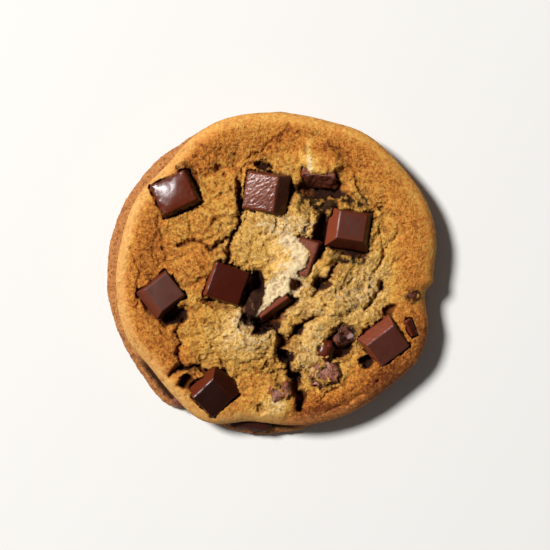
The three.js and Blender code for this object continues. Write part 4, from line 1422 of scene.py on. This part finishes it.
def rounded_block(chunk, number):
    """A block of chocolate in its own axes: its points, its triangles, the way out at each point,
    and how far across the block each point is."""
    small = max(chunk["face"]) < SMALL_CHUNK_FACE
    cube, faces = block_grid(SMALL_CHUNK_CUTS if small else CHUNK_CUTS)
    across = cube[:, :2]
    if "melted" in chunk:
        across = across * np.sqrt(1 - across[:, ::-1] ** 2 / 2)
        bearing = np.degrees(np.arctan2(across[:, 1], across[:, 0]))
        ragged = 1 + MELTED_RAGGEDNESS * noise(
            bearing / MELTED_RAGGED_WIDTH, np.full(len(cube), float(number)), SEED_CHUNK)
        across = across * (melted_reach(bearing, chunk["melted"]) * ragged)[:, None]
    depth = (1 - cube[:, 2]) / 2 * chunk["tall"]
    half, middle = chunk_outline(chunk, depth)
    body = np.column_stack([across * half, chunk["tall"] / 2 - depth])
    reach = half * (MELTED_LIMIT if "melted" in chunk else 1)
    limit = np.column_stack([reach, np.full(len(cube), chunk["tall"] / 2)])
    rounding = min(chunk["rounding"], chunk["tall"] / ROUNDING_LIMIT,
                   chunk["face"][1] / ROUNDING_LIMIT)
    core = np.clip(body, -(limit - rounding), limit - rounding)
    out = body - core
    out /= np.maximum(np.linalg.norm(out, axis=1, keepdims=True), 1e-9)
    points = core + rounding * out
    points[:, :2] += middle
    points[:, 2] -= chunk["tall"] / 2
    return points, faces, out, across


def chunk_bumps(chunk, points, across, on_face, seed):
    """How far each point stands out: lumps all over, blisters on the face, wrinkles at its edge."""
    sideways = 1 - on_face
    bumps = chunk["uneven"] * octaves(points, 1, LUMP_LAYERS, seed)
    bumps *= LUMPS_ON_FACE + MORE_LUMPS_ON_SIDES * sideways
    if "blisters" in chunk:
        near, _, own = space_cells(points / BLISTER_SIZE, seed + 3)
        bumps += chunk["blisters"] * on_face * (0.5 + own) * smoothstep(*BLISTER_FALL, near)
    if "wrinkles" in chunk:
        at_edge = smoothstep(*WRINKLE_EDGE, np.abs(across).max(axis=1))
        at_edge *= WRINKLES_ON_FACE + (1 - WRINKLES_ON_FACE) * sideways
        near, _, own = space_cells(points * WRINKLE_PLACE_SCALE, seed + 5)
        bumps += chunk["wrinkles"] * at_edge * (own - 0.3 - near)
    return bumps


def chunk_tones(chunk, out, across, on_face):
    """What the chocolate's colour and gloss follow at each point, each from 0 to 1, with painted
    light on the sides towards the key light and painted shade on those away from it.
    """
    sideways = 1 - on_face
    # Painted light and shade: sides that look towards the key light's bearing are painted redder,
    # sides that look away are painted nearly black; each chunk's own redness and its face's frame go
    # in with the painted light
    towards = (math.cos(LIT_SIDE_BEARING * DEGREE), math.sin(LIT_SIDE_BEARING * DEGREE))
    turned = (out @ chunk_axes(chunk).T)[:, :2] @ towards
    framing = chunk.get("frame", 0) * smoothstep(*FRAME_BEGINS, np.abs(across).max(axis=1))
    red_and_lit = chunk.get("side", 1) * sideways * smoothstep(*LIT_SIDE_RED, turned)
    red_and_lit = np.maximum(red_and_lit, chunk.get("red", 0))
    red_and_lit = np.maximum(red_and_lit, FRAME_REDNESS * framing * on_face)
    painted_shade = SHADED_SIDE_STRENGTH * sideways * smoothstep(*SHADED_SIDE, turned)
    facing = BLOOM_ON_SIDES + (1 - BLOOM_ON_SIDES) * on_face
    pink = chunk.get("pink", 0) * facing
    if "fade" in chunk:
        strongest = (chunk["fade"] - chunk["turn"]) * DEGREE
        share = across @ (math.cos(strongest), math.sin(strongest))
        pink = pink * (PINK_LEAST + (1 - PINK_LEAST) * smoothstep(*PINK_FADE, share))
    return {
        "bloom": chunk.get("bloom", 0) * facing * (1 - framing),
        "pink": pink,
        "dark": np.maximum(chunk.get("dark", 0) * on_face, painted_shade),
        "side": red_and_lit,
        "rough": np.full(len(out), float(chunk["rough"])),
    }


def chunk_mesh(chunk, number):
    """Points, triangles and surface values of one block of chocolate with melted edges."""
    points, faces, out, across = rounded_block(chunk, number)
    on_face = smoothstep(*FACE_BEGINS, out[:, 2])
    bowl = np.clip(1 - across[:, 0] ** 2, 0, 1) * np.clip(1 - across[:, 1] ** 2, 0, 1)
    points[:, 2] += chunk["dome"] * bowl * on_face
    bumps = chunk_bumps(chunk, points, across, on_face, SEED_CHUNK + 7 * number)
    points += out * bumps[:, None]
    points = points @ chunk_axes(chunk).T + chunk["at"]
    return points, faces, chunk_tones(chunk, out, across, on_face)


def crumb_points(shape, centre, size, rng):
    """One crumb: a small ball of points squeezed unevenly, in a place of its own."""
    stretch = rng.uniform(0.65, 1.15, 3) * size / 2
    return centre + (shape * rng.uniform(0.75, 1.15, (len(shape), 1))) * stretch


def ball():
    """Points and triangles of a small round ball of 42 points."""
    golden = (1 + 5 ** 0.5) / 2
    corners = [(-1, golden, 0), (1, golden, 0), (-1, -golden, 0), (1, -golden, 0),
               (0, -1, golden), (0, 1, golden), (0, -1, -golden), (0, 1, -golden),
               (golden, 0, -1), (golden, 0, 1), (-golden, 0, -1), (-golden, 0, 1)]
    triangles = [(0, 11, 5), (0, 5, 1), (0, 1, 7), (0, 7, 10), (0, 10, 11), (1, 5, 9), (5, 11, 4),
                 (11, 10, 2), (10, 7, 6), (7, 1, 8), (3, 9, 4), (3, 4, 2), (3, 2, 6), (3, 6, 8),
                 (3, 8, 9), (4, 9, 5), (2, 4, 11), (6, 2, 10), (8, 6, 7), (9, 8, 1)]
    points = [Vector(c).normalized() for c in corners]
    middle = {}

    def halfway(a, b):
        key = (min(a, b), max(a, b))
        if key not in middle:
            middle[key] = len(points)
            points.append((points[a] + points[b]).normalized())
        return middle[key]

    faces = []
    for a, b, c in triangles:
        ab, bc, ca = halfway(a, b), halfway(b, c), halfway(c, a)
        faces += [(a, ab, ca), (b, bc, ab), (c, ca, bc), (ab, bc, ca)]
    return np.array(points), np.array(faces)


class COOKIE_OT_dough(bpy.types.Operator):
    """Make the baked dough with its crags, pockets and crumb"""

    bl_idname = "cookie.dough"
    bl_label = "Baked dough"

    def execute(self, context):
        sizes = context.scene.cookie_dough
        points, faces, values = dough_mesh(sizes)
        dough = mesh_object("baked_dough", points, faces, attributes=bake_values(points, values))
        dough.data.materials.append(baked_dough_material(sizes))
        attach(dough, "root")
        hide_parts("dough")
        return {"FINISHED"}


class COOKIE_OT_chunks(bpy.types.Operator):
    """Make every chocolate chunk"""

    bl_idname = "cookie.chunks"
    bl_label = "Chocolate chunks"

    def execute(self, context):
        material = chocolate_material(context.scene.cookie_chocolate)
        for number, (node, chunk) in enumerate(CHUNKS.items()):
            points, faces, values = chunk_mesh(chunk, number)
            piece = mesh_object(node.replace("chunk", "chocolate"), points, faces, attributes=values)
            piece.data.materials.append(material)
            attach(piece, "root")
            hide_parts(node)
        return {"FINISHED"}


class COOKIE_OT_crumbs(bpy.types.Operator):
    """Scatter loose crumbs on the top"""

    bl_idname = "cookie.crumbs"
    bl_label = "Loose crumbs"

    def execute(self, context):
        sizes = context.scene.cookie_crumbs
        dough = bpy.data.objects["baked_dough"]
        count = len(dough.data.vertices)
        place = np.zeros(count * 3)
        dough.data.vertices.foreach_get("co", place)
        place = place.reshape(-1, 3) / MM
        values = {}
        for name in ("hollow", "stain_and_shade", "browned"):
            values[name] = np.zeros(count, np.float32)
            dough.data.attributes[name].data.foreach_get("value", values[name])
        rng = np.random.default_rng(sizes.seed)
        middle = smoothstep(*CRUMB_REACH, np.hypot(place[:, 0], place[:, 1]))
        likely = middle * (place[:, 2] > CRUMB_LOWEST) * (
            CRUMB_CHANCE + CRUMB_CHANCE_IN_HOLLOWS * values["hollow"]
            + CRUMB_CHANCE_ON_STAINS * values["stain_and_shade"])
        chosen = rng.choice(count, sizes.count, replace=False, p=likely / likely.sum())
        shape, shape_faces = ball()
        points, faces, tone, crumb_stain_and_shade = [], [], [], []
        for number, index in enumerate(chosen):
            share = rng.random() ** CRUMB_SIZE_POWER
            size = (sizes.smallest + (sizes.largest - sizes.smallest) * share) / MM
            centre = place[index] + (0, 0, 0.1 * size)
            points.append(crumb_points(shape, centre, size, rng))
            faces.append(shape_faces + number * len(shape))
            tone.append(np.full(len(shape), values["browned"][index] + rng.uniform(-0.1, 0.15)))
            # A crumb takes the stain and the painted shade of the crumb under it
            crumb_stain_and_shade.append(np.full(len(shape), values["stain_and_shade"][index] * rng.uniform(0.6, 1)))
        tone, crumb_stain_and_shade = np.clip(np.concatenate(tone), 0, 1), np.concatenate(crumb_stain_and_shade)
        flat = np.zeros(len(tone))
        crumbs = mesh_object("loose_crumbs", np.concatenate(points), np.concatenate(faces),
                             attributes={"browned": tone, "hollow": flat, "stain_and_shade": crumb_stain_and_shade,
                                         "grain": flat, "calm": flat, "skirt": flat})
        crumbs.data.materials.append(dough.data.materials[0])
        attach(crumbs, "root")
        return {"FINISHED"}


class COOKIE_OT_stage(bpy.types.Operator):
    """Make the floor, the lights and the camera"""

    bl_idname = "cookie.stage"
    bl_label = "Floor, lights and camera"

    def execute(self, context):
        stage = context.scene.cookie_stage
        corners = [(x * FLOOR_REACH, y * FLOOR_REACH, 0)
                   for x, y in ((-1, -1), (1, -1), (1, 1), (-1, 1))]
        floor = mesh_object("floor", corners, [(0, 1, 2), (0, 2, 3)], smooth=False)
        floor.data.materials.append(paper_material(stage.floor))

        light = bpy.data.lights.new("softbox", "AREA")
        light.shape = "DISK"
        light.size = stage.key_size
        light.energy = stage.key_power
        key = bpy.data.objects.new("softbox", light)
        context.scene.collection.objects.link(key)
        flat = math.cos(stage.key_elevation)
        towards = Vector((math.cos(stage.key_bearing) * flat, math.sin(stage.key_bearing) * flat,
                          math.sin(stage.key_elevation)))
        key.location = towards * stage.key_distance
        key.rotation_euler = towards.to_track_quat("Z", "Y").to_euler()

        world = bpy.data.worlds.new("studio")
        world.use_nodes = True
        sky = world.node_tree.nodes["Background"]
        sky.inputs["Color"].default_value = (1, 1, 1, 1)
        sky.inputs["Strength"].default_value = stage.fill
        context.scene.world = world

        camera = bpy.data.cameras.new("camera")
        camera.lens = stage.lens
        distance = stage.view_width * stage.lens / camera.sensor_width
        view = bpy.data.objects.new("camera", camera)
        view.location = (VIEW_MIDDLE[0] * MM, VIEW_MIDDLE[1] * MM, LIP_HEIGHT * MM + distance)
        context.scene.collection.objects.link(view)
        context.scene.camera = view
        context.scene.view_settings.view_transform = "Standard"
        return {"FINISHED"}


class COOKIE_PT_panel(bpy.types.Panel):
    """Lists the cookie's pieces"""

    bl_label = "Chocolate chip cookie"
    bl_idname = "COOKIE_PT_panel"
    bl_space_type = "VIEW_3D"
    bl_region_type = "UI"
    bl_category = "Cookie"

    def draw(self, context):
        for group, operator in (("cookie_dough", COOKIE_OT_dough),
                                ("cookie_chocolate", COOKIE_OT_chunks),
                                ("cookie_crumbs", COOKIE_OT_crumbs),
                                ("cookie_stage", COOKIE_OT_stage)):
            box = self.layout.box()
            settings = getattr(context.scene, group)
            for name in settings.__annotations__:
                box.prop(settings, name)
            box.operator(operator.bl_idname)


GROUPS = {"cookie_dough": CookieDough, "cookie_chocolate": CookieChocolate,
          "cookie_crumbs": CookieCrumbs, "cookie_stage": CookieStage}
CLASSES = (*GROUPS.values(), COOKIE_OT_dough, COOKIE_OT_chunks, COOKIE_OT_crumbs,
           COOKIE_OT_stage, COOKIE_PT_panel)


def register():
    """Makes the pieces' operators, settings and panel known."""
    for cls in CLASSES:
        bpy.utils.register_class(cls)
    for name, group in GROUPS.items():
        setattr(bpy.types.Scene, name, PointerProperty(type=group))


def unregister():
    """Takes them away again."""
    for name in GROUPS:
        delattr(bpy.types.Scene, name)
    for cls in reversed(CLASSES):
        bpy.utils.unregister_class(cls)


def main():
    """Makes every piece and the stage."""
    register()
    bpy.ops.cookie.dough()
    bpy.ops.cookie.chunks()
    bpy.ops.cookie.crumbs()
    bpy.ops.cookie.stage()


if __name__ == "__main__":
    main()
